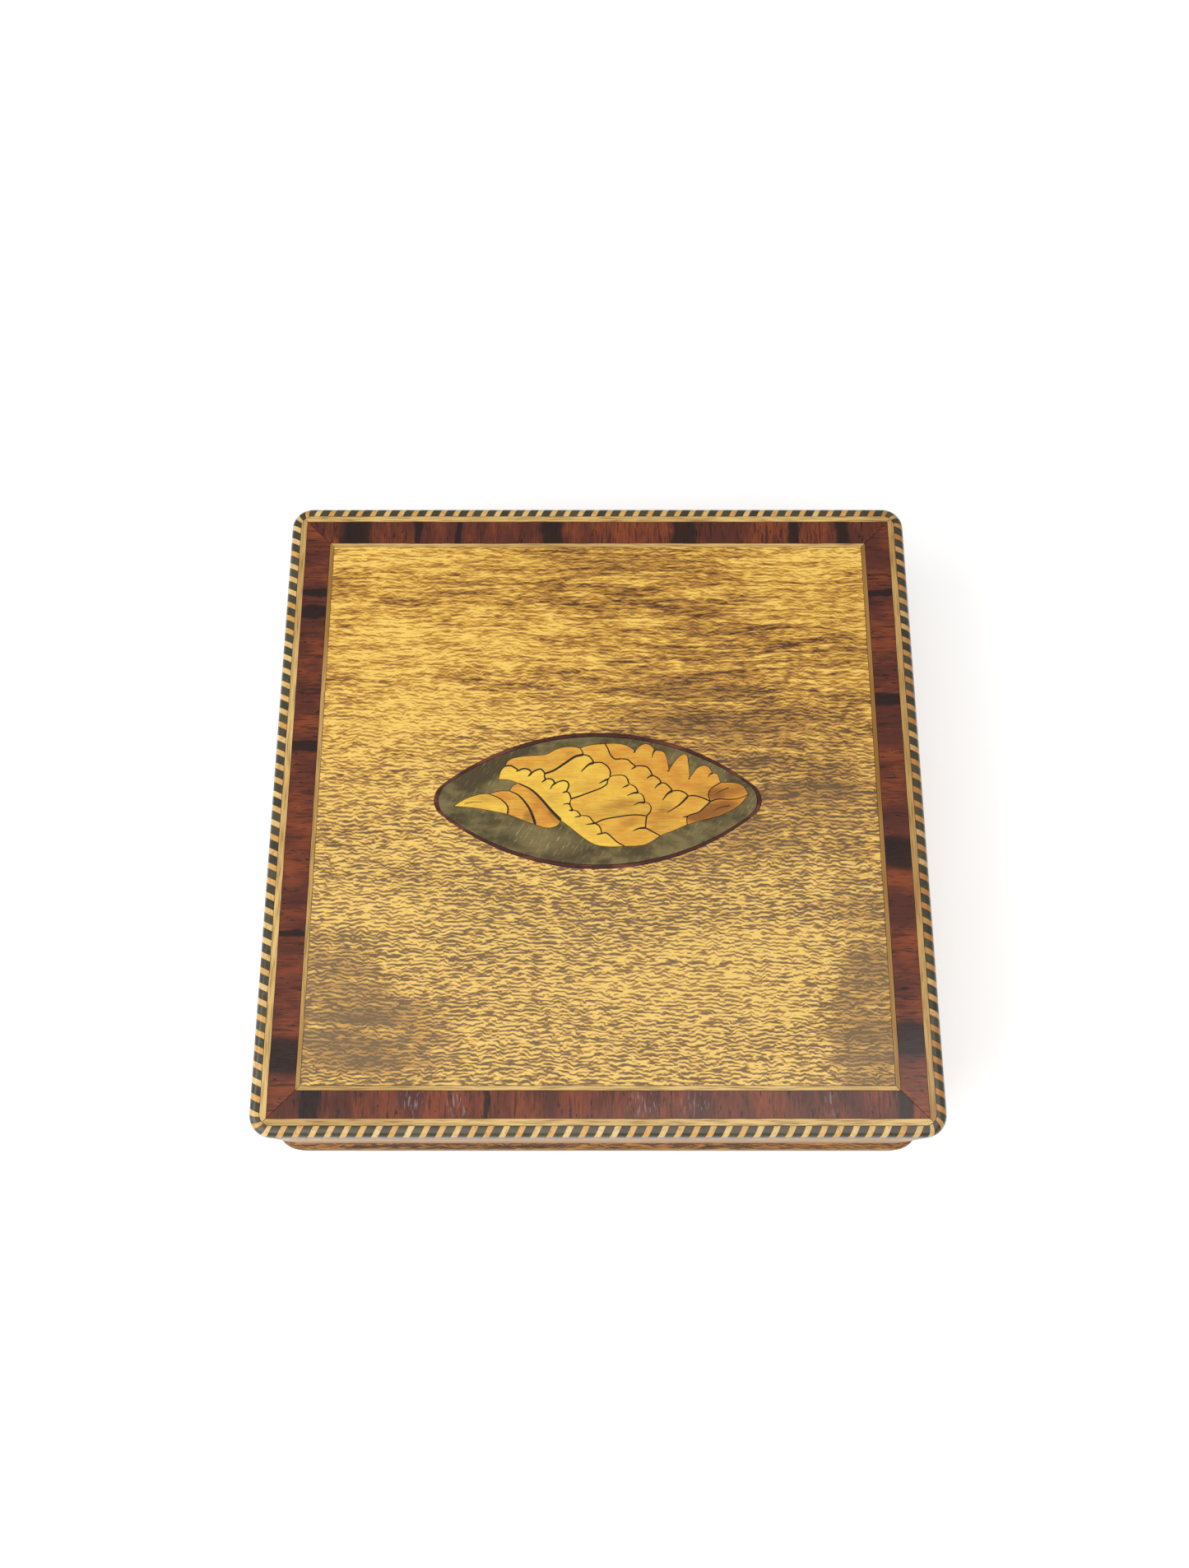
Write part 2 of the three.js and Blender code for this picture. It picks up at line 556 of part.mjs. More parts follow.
// Where two or more pieces meet.
const TIP = [-33, -1.5];
const SPIRE_HIGH = [-25, 1.4];
const SPIRE_LOW = [-20.6, -3.4];
const WHORL_HIGH = [-20.3, 2.1];
const WHORL_LOW = [-14.2, -5.9];
const LIP_FORK = [-18.4, 4.0];
const LIP_LEFT = [-22.9, 4.9];
const LIP_TURN = [-21.4, 8.1];
const LIP_LOW = [-8.4, -4.9];
const CREST_HEEL = [-12.2, 6.3];
const CREST_HIGH = [-4.1, 12.5];
const FOLD_TOP = [-3.3, 10.9];
const FOLD_HEEL = [-6.1, 0.2];
const FOLD_TOE = [2.8, 5.5];
const BELLY_HEEL = [-0.6, -5.6];
const BELLY_TOE = [11.2, -3.8];
const LIP_TOE = [6.1, -11];
const BASE_TOE = [14.2, -8.5];
const PLUME_TOP = [1.7, 13.6];
const PLUME_TOE = [25.9, -0.4];
const LEAF_TOP = [28.3, 4.1];
const LEAF_TIP = [34.6, 1.3];
const LEAF_HEEL = [20.4, -5.9];

// Edges inside the shell, each shared by the two pieces that meet there.
const spireJoint = curve(SPIRE_HIGH, [-22.5, 0.3], [-20.7, -1.5], SPIRE_LOW);
const whorlJoint = curve(WHORL_HIGH, [-18, 0.9], [-15.6, -2.2], WHORL_LOW);
const lipInside = curve(LIP_FORK, [-15.7, 2.7], [-13.5, 0.8], [-10.6, -2.6], LIP_LOW);
const lipCrest = runs(
  [LIP_TURN, [-20.1, 8.2], [-19, 7.6], [-18.3, 7]],
  [[-18.3, 7], [-17.5, 7.4], [-16.6, 7.5], [-15.7, 7.1], [-15.3, 6.4]],
  [[-15.3, 6.4], [-14.5, 7], [-13.3, 7.4], [-12.6, 6.9], CREST_HEEL],
);
const lipFold = runs(
  [CREST_HEEL, [-12.3, 5.6], [-12, 4.9]],
  [[-12, 4.9], [-11.2, 5.1], [-10.3, 4.7], [-9.8, 3.9]],
  [[-9.8, 3.9], [-9.1, 4.3], [-7.9, 4.6], [-6.9, 4.2], [-6.7, 3.2], [-7.2, 2]],
  [[-7.2, 2], [-6.6, 1.6], [-6.3, 0.9], FOLD_HEEL],
);
const lipBelly = runs(
  [FOLD_HEEL, [-6.4, -0.7], [-6.2, -1.6], [-5.7, -2.5]],
  [[-5.7, -2.5], [-4.9, -2.6], [-4.3, -3.2], [-3.9, -3.8]],
  [[-3.9, -3.8], [-2.7, -3.8], [-1.8, -4.2], [-1.2, -5], BELLY_HEEL],
);
const lipBase = runs(
  [BELLY_HEEL, [0.2, -6.1], [0.7, -7], [0.9, -8]],
  [[0.9, -8], [2, -7.9], [3.2, -8.9], [4.4, -10], LIP_TOE],
);
const crestFold = curve(CREST_HEEL, [-10.1, 7.1], [-7.6, 8.8], [-5.3, 10.4], FOLD_TOP);
const crestMantle = curve(FOLD_TOP, [-3.6, 11.7], CREST_HIGH);
const foldMantle = runs(
  [FOLD_TOP, [-2.1, 10.6], [-1.3, 9.7], [-0.9, 8.9]],
  [[-0.9, 8.9], [0.8, 9], [2.2, 8.1], [2.9, 6.8], FOLD_TOE],
);
const foldBelly = curve(FOLD_TOE, [2.3, 4.7], [2.1, 3.8], [0.7, 2.8], [-1.8, 1.8], [-4.4, 0.8], FOLD_HEEL);
const bellyMantle = runs(
  [FOLD_TOE, [4, 5.9], [5.7, 5.9], [6.7, 5.3], [7.2, 3.8]],
  [[7.2, 3.8], [8, 3.5], [8.8, 2.9], [9.3, 1.7]],
  [[9.3, 1.7], [10.1, 1.3], [10.6, 0.5], [10.8, -0.6]],
  [[10.8, -0.6], [11.7, -0.9], [12.2, -1.8], [12, -2.9], BELLY_TOE],
);
const bellyBase = curve(BELLY_HEEL, [1.3, -4.7], [4.4, -4.1], [8.2, -3.6], BELLY_TOE);
const baseMantle = runs([BELLY_TOE, [11, -5.2], [10.9, -6.7]], [[10.9, -6.7], [12.2, -7.4], BASE_TOE]);
const plumeMantle = runs(
  [PLUME_TOP, [2.4, 12.3], [2.9, 11], [3.9, 9.9], [5.5, 9.9]],
  [[5.5, 9.9], [6.9, 9.7], [7.8, 8.9], [8.8, 8.1]],
  [[8.8, 8.1], [10, 8.2], [11.4, 7.9], [12.2, 6.9], [12.6, 5.9]],
  [[12.6, 5.9], [13.5, 5.5], [14.3, 4.8], [14.6, 4.1]],
  [[14.6, 4.1], [15.6, 3.9], [16.5, 3.1], [17.2, 2.1]],
  [[17.2, 2.1], [18.7, 2.2], [20, 1.7], [20.8, 0.9]],
  [[20.8, 0.9], [22.2, 1], [24, 0.5], PLUME_TOE],
);
const plumeLeaf = runs([LEAF_TOP, [26.9, 3.3], [25.8, 2.4]], [[25.8, 2.4], [25.4, 1], PLUME_TOE]);
const leafJoint = curve(PLUME_TOE, [27.7, 0.2], [30.3, 0.1], [32.6, 0.4], LEAF_TIP);
const mantleLeaf = curve(PLUME_TOE, [24.6, -1.6], [23, -3], [20.6, -3.9], LEAF_HEEL);

// Edges against the green ground.
const spireTop = curve(TIP, [-30.6, 0.1], [-27.3, 1.3], SPIRE_HIGH);
const spireFoot = curve(SPIRE_LOW, [-24, -2.7], [-28.5, -1.9], TIP);
const whorlTop = curve(SPIRE_HIGH, [-22.6, 2.1], WHORL_HIGH);
const whorlFoot = curve(WHORL_LOW, [-17, -4.9], SPIRE_LOW);
const bodyTop = curve(WHORL_HIGH, [-19.6, 3.3], LIP_FORK);
const bodyFoot = curve(LIP_LOW, [-9.3, -6.2], [-11.6, -6.7], WHORL_LOW);
const lipUnder = curve(LIP_FORK, [-20.5, 4.8], LIP_LEFT);
const lipLeft = curve(LIP_LEFT, [-22.4, 6.9], LIP_TURN);
const lipFoot = curve(LIP_TOE, [2.5, -11.1], [-0.6, -10.6], [-3.4, -8.9], [-6.2, -6.6], LIP_LOW);
const crestTop = curve(LIP_TURN, [-21, 9.1], [-19.8, 10], [-16.8, 10.6], [-12.3, 10.9], [-10.1, 12],
  [-8.2, 12.7], [-6, 12.9], CREST_HIGH);
const mantleTop = curve(CREST_HIGH, [-2.8, 13], [-0.9, 13.4], PLUME_TOP);
const mantleFoot = curve(LEAF_HEEL, [18.2, -6.9], BASE_TOE);
const baseFoot = curve(BASE_TOE, [12.2, -9.9], [10, -10.8], LIP_TOE);
const plumeEdge = runs(
  [PLUME_TOP, [3.9, 13.7], [6.1, 13.4], [7.7, 12.6], [8.7, 11.8]],
  [[8.7, 11.8], [9.7, 13], [11.2, 13.6], [12.5, 13], [13.3, 12]],
  [[13.3, 12], [14.2, 11.9], [15.3, 11.6], [16, 10.3], [16.3, 8.6], [16.5, 7.2]],
  [[16.5, 7.2], [17.6, 9], [18.8, 10.4], [20, 11.1], [20.8, 10.5], [21, 8.9], [21.2, 6.9], [21.2, 5.3]],
  [[21.2, 5.3], [22.2, 6.7], [23.3, 7.9], [24.9, 8.3], [25.9, 7.6], [26.5, 6.4]],
  [[26.5, 6.4], [27.5, 6.3], [28, 5.3], LEAF_TOP],
);
const leafTop = curve(LEAF_TOP, [29.8, 4.2], [31.6, 4.1], [33.6, 3.3], LEAF_TIP);
const leafFoot = curve(LEAF_TIP, [32.4, -1.4], [28.4, -3.6], [24.4, -4.7], LEAF_HEEL);

// Each piece's edges, in order round it.
const SHELL = {
  shell_spire: ['shell', spireTop, spireJoint, spireFoot],
  shell_whorl: ['shellShade', whorlTop, whorlJoint, whorlFoot, back(spireJoint)],
  shell_body: ['shellShade', bodyTop, lipInside, bodyFoot, back(whorlJoint)],
  shell_lip: ['shell', lipUnder, lipLeft, lipCrest, lipFold, lipBelly, lipBase, lipFoot, back(lipInside)],
  shell_crest: ['shellShade', crestTop, back(crestMantle), back(crestFold), back(lipCrest)],
  shell_fold: ['shell', crestFold, foldMantle, foldBelly, back(lipFold)],
  shell_belly: ['shellShade', bellyMantle, back(bellyBase), back(lipBelly), back(foldBelly)],
  shell_base: ['shellShade', bellyBase, baseMantle, baseFoot, back(lipBase)],
  shell_mantle: ['shell', mantleTop, plumeMantle, mantleLeaf, mantleFoot, back(baseMantle),
    back(bellyMantle), back(foldMantle), crestMantle],
  shell_plume: ['shell', plumeEdge, plumeLeaf, back(plumeMantle)],
  shell_leaf_upper: ['shellShade', leafTop, back(leafJoint), back(plumeLeaf)],
  shell_leaf_lower: ['shellShade', leafJoint, leafFoot, back(mantleLeaf)],
};

const SHELL_OUTLINE = [
  spireTop, whorlTop, bodyTop, lipUnder, lipLeft, crestTop, mantleTop, plumeEdge, leafTop, leafFoot,
  mantleFoot, baseFoot, lipFoot, bodyFoot, whorlFoot, spireFoot,
];

// Edges end to end as one closed outline, each shared end once.
function outlineOf(edges) {
  const points = edges.flat();
  return points.filter((point, i) => {
    return point.distanceTo(points[(i + points.length - 1) % points.length]) > 0.02;
  });
}

// The outline moved outward by a distance, or inward by a negative one.
function grown(points, distance) {
  const way = Math.sign(THREE.ShapeUtils.area(points)) * distance;
  return points.map((point, i) => {
    const before = points[(i + points.length - 1) % points.length];
    const after = points[(i + 1) % points.length];
    const arriving = point.clone().sub(before).normalize();
    const leaving = after.clone().sub(point).normalize();
    const normal = new THREE.Vector2(arriving.y + leaving.y, -arriving.x - leaving.x);
    const spread = Math.max(normal.length(), 0.7);
    return point.clone().add(normal.normalize().multiplyScalar(way * 2 / spread));
  });
}

for (const [name, [finish, ...edges]] of Object.entries(SHELL)) {
  const outline = grown(outlineOf(edges), -SAW_CUT / 2);
  place(name, inlay(new THREE.Shape(outline)), finish);
}

function shellGround() {
  const shape = navetteShape(NAVETTE_LINE + SAW_CUT);
  shape.holes.push(new THREE.Path(grown(outlineOf(SHELL_OUTLINE), SAW_CUT / 2)));
  return inlay(shape);
}

place('shell_ground', shellGround(), 'harewood');

export default model;
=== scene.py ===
"""A square inlaid table box with a shell on its lid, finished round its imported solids."""

import math

import bmesh
import bpy
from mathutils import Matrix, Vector


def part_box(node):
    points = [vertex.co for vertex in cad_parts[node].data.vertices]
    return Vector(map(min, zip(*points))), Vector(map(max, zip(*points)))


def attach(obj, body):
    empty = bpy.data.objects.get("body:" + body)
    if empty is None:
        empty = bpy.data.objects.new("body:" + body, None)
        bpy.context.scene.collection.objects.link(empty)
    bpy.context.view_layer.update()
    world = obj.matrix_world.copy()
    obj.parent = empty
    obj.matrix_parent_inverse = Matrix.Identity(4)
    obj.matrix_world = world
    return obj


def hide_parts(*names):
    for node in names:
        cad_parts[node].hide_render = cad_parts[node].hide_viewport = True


bl_info = {
    "name": "Inlaid Box",
    "version": (1, 0, 0),
    "blender": (4, 5, 0),
    "location": "3D View > Sidebar > Inlaid Box",
    "description": "Veneers, stringing, marquetry and brass of a small table box",
    "category": "Add Mesh",
}

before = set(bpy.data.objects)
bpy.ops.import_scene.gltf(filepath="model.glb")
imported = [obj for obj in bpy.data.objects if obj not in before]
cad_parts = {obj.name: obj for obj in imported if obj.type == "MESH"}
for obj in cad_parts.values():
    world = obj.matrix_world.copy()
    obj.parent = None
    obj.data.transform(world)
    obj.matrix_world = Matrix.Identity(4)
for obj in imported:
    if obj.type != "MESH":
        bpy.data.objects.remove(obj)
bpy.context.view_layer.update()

MM = 0.001
SIDES = ("front", "right", "back", "left")
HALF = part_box("lid_ground")[1].x
LID_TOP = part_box("field")[1].z
ROPE_LOW, ROPE_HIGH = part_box("rope_line_front")
SHARP = math.radians(35)    # faces that meet at more than this make an edge
MAHOGANY_DARK = "#4a2614"
CEDAR_DARK = "#7e4727"
PALE_PIECES = ("shell_spire", "shell_lip", "shell_fold", "shell_mantle", "shell_plume")


def tint(code):
    """A written colour as the linear values that a shader takes."""
    parts = [int(code[i:i + 2], 16) / 255 for i in (1, 3, 5)]
    return tuple(p / 12.92 if p <= 0.04045 else ((p + 0.055) / 1.055) ** 2.4 for p in parts)


# ---------------------------------------------------------------- sizes and colours


def colour(name, code, description):
    return bpy.props.FloatVectorProperty(
        name=name, description=description, subtype="COLOR", size=3, min=0, max=1, default=tint(code))


def length(name, millimetres, description):
    return bpy.props.FloatProperty(
        name=name, description=description, unit="LENGTH", min=0, default=millimetres * MM)


class BoxStage(bpy.types.PropertyGroup):
    """Camera, floor and lights."""

    lens: bpy.props.FloatProperty(
        name="Lens", description="Focal length on a 36 mm high frame, in mm", default=30.61)
    tilt: bpy.props.FloatProperty(
        name="Tilt", description="How far the camera leans back from straight down",
        subtype="ANGLE", default=math.radians(17.14))
    camera: bpy.props.FloatVectorProperty(
        name="Camera", description="Camera, from the middle of the lid's top", subtype="TRANSLATION",
        default=(-0.74 * MM, -86.7 * MM, 293.4 * MM))
    daylight: bpy.props.FloatProperty(name="Daylight", description="Strength of the room's light", default=0.35)
    floor: colour("Floor", "#f7f7f6", "Pale floor")


class BoxWoods(bpy.types.PropertyGroup):
    """Colours of the woods and brass."""

    satin_pale: colour("Satinwood, pale", "#ffd36a", "Lightest flecks of the satinwood")
    satin_light: colour("Satinwood, light", "#e2ad48", "Light satinwood")
    satin_middle: colour("Satinwood, middle", "#bc8537", "Usual satinwood")
    satin_brown: colour("Satinwood, brown", "#97682f", "Clouds in the satinwood")
    satin_dark: colour("Satinwood, dark", "#543414", "Darkest flecks")
    rose_light: colour("Rosewood, light", "#8f4523", "Red-brown streaks")
    rose_middle: colour("Rosewood, middle", "#5a2a1e", "Usual rosewood")
    rose_dark: colour("Rosewood, dark", "#20120e", "Near-black figure")
    box_light: colour("Boxwood, light", "#e8c078", "Plain lines")
    box_dark: colour("Boxwood, dark", "#8c6a3a", "Grain in the lines")
    rope_light: colour("Light slip", "#e9c581", "Light slips of the stringing")
    rope_dark: colour("Dark slip", "#524a33", "Dark slips of the stringing")
    green_light: colour("Harewood, light", "#837246", "Green-grey ground, light")
    green_dark: colour("Harewood, dark", "#4f4226", "Green-grey ground, dark")
    shell_light: colour("Shell, light", "#fbd050", "Shell wood as it is")
    shell_gold: colour("Shell, gold", "#dc9233", "Shell wood where it is warmed")
    shell_burnt: colour("Shell, burnt", "#87501f", "Shell wood scorched in hot sand")
    line_dark: colour("Dark line", "#54271f", "Line round the pointed oval")
    mastic: colour("Mastic", "#1f1107", "Dark filling of saw cuts and engraving")
    mahogany: colour("Mahogany", "#643520", "Boards under the veneers")
    cedar: colour("Cedar", "#a8683d", "Lining wood")
    brass: colour("Brass", "#b98f45", "Hinges, bolt, key and catch")


class BoxRope(bpy.types.PropertyGroup):
    """Rope stringing."""

    pitch: length("Pitch", 3.39, "From one light slip to the next")
    light: length("Light slip", 1.38, "Width of a light slip along the edge")
    slant: bpy.props.FloatProperty(
        name="Slant", description="Lean of the slips", subtype="ANGLE", default=math.radians(25))
    rounding: length("Rounding", 1.6, "Rounding of the lid's top edge")
    corner: length("Corner", 5, "Radius of the lid's corners")


class BoxEdges(bpy.types.PropertyGroup):
    """Softened edges and small fittings."""

    wood: length("Wood edge", 0.18, "Softening of plain wooden edges")
    metal: length("Brass edge", 0.08, "Softening of brass edges")
    screw: length("Screw head", 1.1, "Radius of the hinge screws")


SETTINGS = {"stage": BoxStage, "woods": BoxWoods, "rope": BoxRope, "edges": BoxEdges}


def settings(group):
    return getattr(bpy.context.scene, f"inlaid_box_{group}")


# ---------------------------------------------------------------- shader maths


class Wire:
    """A number on its way through a material, which takes Python's arithmetic."""

    def __init__(self, finish, socket):
        self.finish = finish
        self.socket = socket

    def maths(self, operation, *parts):
        return self.finish.node("ShaderNodeMath", {"operation": operation}, dict(enumerate(parts)))

    def __add__(self, other):
        return self.maths("ADD", self, other)

    def __radd__(self, other):
        return self.maths("ADD", other, self)

    def __sub__(self, other):
        return self.maths("SUBTRACT", self, other)

    def __rsub__(self, other):
        return self.maths("SUBTRACT", other, self)

    def __mul__(self, other):
        return self.maths("MULTIPLY", self, other)

    def __rmul__(self, other):
        return self.maths("MULTIPLY", other, self)

    def __truediv__(self, other):
        return self.maths("DIVIDE", self, other)

    def __abs__(self):
        return self.maths("ABSOLUTE", self)

    def sine(self):
        return self.maths("SINE", self)

    def rise(self, low, high, start=0.0, end=1.0):
        """A smooth change from start to end as the number goes from low to high."""
        values = {"Value": self, "From Min": low, "From Max": high, "To Min": start, "To Max": end}
        return self.finish.node("ShaderNodeMapRange", {"interpolation_type": "SMOOTHSTEP"}, values)


class Finish:
    """One material, with positions in millimetres from the object's own coordinates."""

    def __init__(self, name, roughness=0.3, metallic=0.0, coat=0.0, coat_roughness=0.08, quarter_turns=0):
        self.material = bpy.data.materials.new(name)
        self.material.use_nodes = True
        self.tree = self.material.node_tree
        self.shader = self.tree.nodes["Principled BSDF"]
        self.shader.inputs["Metallic"].default_value = metallic
        self.shader.inputs["Roughness"].default_value = roughness
        self.shader.inputs["Specular IOR Level"].default_value = 0.35
        self.shader.inputs["Coat Weight"].default_value = coat
        self.shader.inputs["Coat Roughness"].default_value = coat_roughness
        place = self.node("ShaderNodeTexCoord", out="Object")
        turn = (0, 0, quarter_turns * math.pi / 2)
        self.mm = self.node("ShaderNodeMapping", values={
            "Vector": place, "Rotation": turn, "Scale": (1 / MM, 1 / MM, 1 / MM)})
        self.x, self.y, self.z = (
            self.node("ShaderNodeSeparateXYZ", values={0: self.mm}, out=i) for i in range(3))

    def node(self, kind, settings=None, values=None, out=0):
        """Adds a node, and gives back one of its outputs as a Wire."""
        made = self.tree.nodes.new(kind)
        for key, value in (settings or {}).items():
            if key == "stops":
                elements = made.color_ramp.elements
                for place, shade in value:
                    stop = elements[-place] if place in (0, 1) else elements.new(place)
                    stop.color = (*shade, 1)
            else:
                setattr(made, key, value)
        for key, value in (values or {}).items():
            if isinstance(value, Wire):
                self.tree.links.new(value.socket, made.inputs[key])
            else:
                made.inputs[key].default_value = value
        return Wire(self, made.outputs[out])

    def noise(self, per_mm, detail=2.0, roughness=0.5, distortion=0.0, shift=(0, 0, 0), place=None):
        """Noise with its own scale along each axis, in cycles per millimetre."""
        stretched = self.node("ShaderNodeMapping", values={
            "Vector": place or self.mm, "Scale": per_mm, "Location": shift})
        return self.node("ShaderNodeTexNoise", values={
            "Vector": stretched, "Scale": 1.0, "Detail": detail, "Roughness": roughness,
            "Distortion": distortion})

    def mix(self, share, first, second):
        """Goes from the first colour to the second as share goes from 0 to 1."""
        first, second = (c if isinstance(c, Wire) else (*c, 1) for c in (first, second))
        return self.node("ShaderNodeMix", {"data_type": "RGBA"}, {0: share, 6: first, 7: second}, out=2)

    def spot(self, x, y, wide, high, lean=0.0, soft=0.9):
        """1 inside a soft oval, and 0 outside it; lean turns it, in degrees."""
        cos, sin = math.cos(math.radians(lean)), math.sin(math.radians(lean))
        along = ((self.x - x) * cos + (self.y - y) * sin) / wide
        across = ((self.y - y) * cos - (self.x - x) * sin) / high
        reach = along * along + across * across
        return reach.rise(0.0, 1.0 + soft, 1.0, 0.0)

    def spots(self, rows):
        """Spots added up; each row is a spot and then its strength."""
        return sum(self.spot(*oval) * strength for *oval, strength in rows)

    def feed(self, name, value):
        """Links a value to the shader."""
        if isinstance(value, Wire):
            self.tree.links.new(value.socket, self.shader.inputs[name])
        else:
            self.shader.inputs[name].default_value = value

    def bump(self, height, depth_mm, strength=0.3):
        bump = self.node("ShaderNodeBump", values={
            "Height": height, "Distance": depth_mm * MM, "Strength": strength})
        self.feed("Normal", bump)

    def done(self, base, roughness=None):
        self.feed("Base Color", base)
        if roughness is not None:
            self.feed("Roughness", roughness)
        return self.material


# ---------------------------------------------------------------- woods and brass


def satinwood(name, field=False, quarter_turns=0, browning=0.0):
    """Golden satinwood: long bands and streaks behind, broken wavy flecks in front; its last argument darkens it
    as painted shade.
    """
    woods = settings("woods")
    finish = Finish(name, 0.38, coat=0.2 if field else 0.1, quarter_turns=quarter_turns)
    drift = finish.noise((0.03, 0.05, 0.05), 2) - 0.5
    waved = finish.node("ShaderNodeCombineXYZ", values={
        0: finish.x, 1: finish.y + drift * 6, 2: finish.z + drift * 3})
    bands = finish.noise((0.012, 0.15, 0.15), 3, 0.55, place=waved) - 0.5
    streaks = finish.noise((0.07, 0.9, 0.9), 4, 0.62, 0.2, place=waved) - 0.5
    flecks = finish.noise((0.4, 1.9, 1.9), 1, 0.5, 0.4, shift=(9, 4, 0), place=waved) - 0.5
    wander = finish.noise((0.42, 0.26, 0.26), 2, 0.55, shift=(0, 7, 2), place=waved) * 20
    ripples = ((finish.y + finish.z) * 7.0 + finish.x * 0.35 + wander).sine() * 0.5
    pores = finish.noise((0.3, 6.0, 6.0), 2, 0.6, shift=(3, 0, 0), place=waved) - 0.5
    threads = finish.noise((0.035, 2.6, 2.6), 2, 0.6, 0.2, shift=(5, 1, 8), place=waved)
    if field:
        near = finish.y.rise(50, -35)
        shade, glow = field_clouds(finish)
        calm = 1 - shade.rise(0.3, 1.3) * 0.5
        tone = 0.57 + glow * 0.26 - shade * 0.32 - near * 0.04
    else:
        # Off the lid's field the tone is plainer and darker, partly the wood's own and partly painted shade; the
        # last argument darkens it further as painted shade.
        near, calm, tone = 0.7, 0.36, 0.34 - browning
    dashes = (ripples + flecks * 3.0).rise(-0.4, 0.4) - 0.5
    # Bright gold threads along the grain: partly the wood's figure and partly painted highlight.
    gold = threads.rise(0.6, 0.68)
    tone = tone + bands * (1.1 - near * 0.6) + streaks * (2.0 - near * 1.3)
    broken = dashes * (0.28 + near * 0.56) + flecks * (0.8 + near * 0.4) + pores * (1.1 - near * 0.3)
    tone = tone + broken * calm
    tone = tone + gold * (0.42 - near * 0.2) * calm
    wood = finish.node("ShaderNodeValToRGB", {"stops": (
        (0, woods.satin_dark), (1, woods.satin_pale), (0.25, woods.satin_brown), (0.5, woods.satin_middle),
        (0.75, woods.satin_light))}, {0: tone})
    # Painted sheen: the field turns paler and greyer towards the front.
    if field:
        wood = finish.mix(near * 0.2, wood, tint("#d6bb88"))
    finish.bump(dashes + streaks, 0.02)
    return finish.done(wood, tone.rise(0.2, 0.8, 0.44, 0.32))


# Slow clouds on the lid's field, partly the veneer's figure and partly painted reflection: middle, half sizes,
# lean, and how strongly each darkens, then the same for the places that each brighten.
CLOUDS = (
    (8, 57, 20, 5, 0, 0.50),
    (24, 46, 20, 5, -22, 0.50),
    (-14, 53, 16, 4, 14, 0.25),
    (26, 22, 24, 12, -8, 0.85),
    (40, -2, 22, 12, 4, 0.80),
    (59, 6, 9, 20, 0, 0.45),
    (2, -24, 40, 6, -6, 0.40),
    (22, -14, 14, 5, 0, 0.5),
    (-60, -48, 15, 18, 6, 1.0),
    (-44, -54, 14, 10, 0, 0.9),
    (60, -54, 10, 20, -4, 1.4),
    (60, -26, 8, 14, 0, 0.7),
    (-46, -18, 14, 5, -8, 0.3),
    (-28, 30, 22, 2.5, 2, 0.3),
    (-44, 47, 16, 2.5, 4, 0.2),
    (50, 40, 8, 4, 0, 0.1),
)
GLOWS = (
    (-50, 16, 22, 18, 0, 0.85),
    (-34, 42, 32, 10, 0, 0.6),
    (-8, 12, 16, 8, 0, 0.3),
    (22, -42, 28, 10, 0, 0.5),
    (-44, -22, 20, 8, 0, 0.4),
    (50, 60, 18, 7, 0, 1.1),
    (-46, 60, 16, 4, 0, 0.5),
    (36, -33, 20, 6, 0, 0.4),
)


def field_clouds(finish):
    """Where the lid's field is darker and where it is brighter, partly the figure and partly painted reflection,
    both broken by the grain.
    """
    ragged = finish.noise((0.035, 0.45, 0.5), 3, 0.6, shift=(2, 2, 0))
    shade = finish.spots(CLOUDS)
    glow = finish.spots(GLOWS)
    return shade * ragged.rise(0.25, 0.75, 0.4, 1.4), glow * ragged.rise(0.25, 0.75, 1.3, 0.5)


def satin_pair(name, browning=0.0):
    """Satinwood that runs left to right, and the same turned to run front to back."""
    return satinwood(name, browning=browning), satinwood(name + "_turned", quarter_turns=1, browning=browning)


# Black figure in each side's banding: place along the side and half its width, in mm.
ROSEWOOD_FIGURE = {
    "front": ((-62, 2.5), (-24, 0.8), (66, 2)),
    "right": ((-54, 4.5), (-12.5, 4.2), (24.5, 1.8), (52, 1)),
    "back": ((-59, 4.2), (-44, 1), (-34, 0.7), (-11, 3), (21, 3.6), (48, 1.6), (60, 2)),
    "left": ((-57.5, 4.6), (-31, 0.8), (13, 1.6), (47, 2), (52, 1)),
}


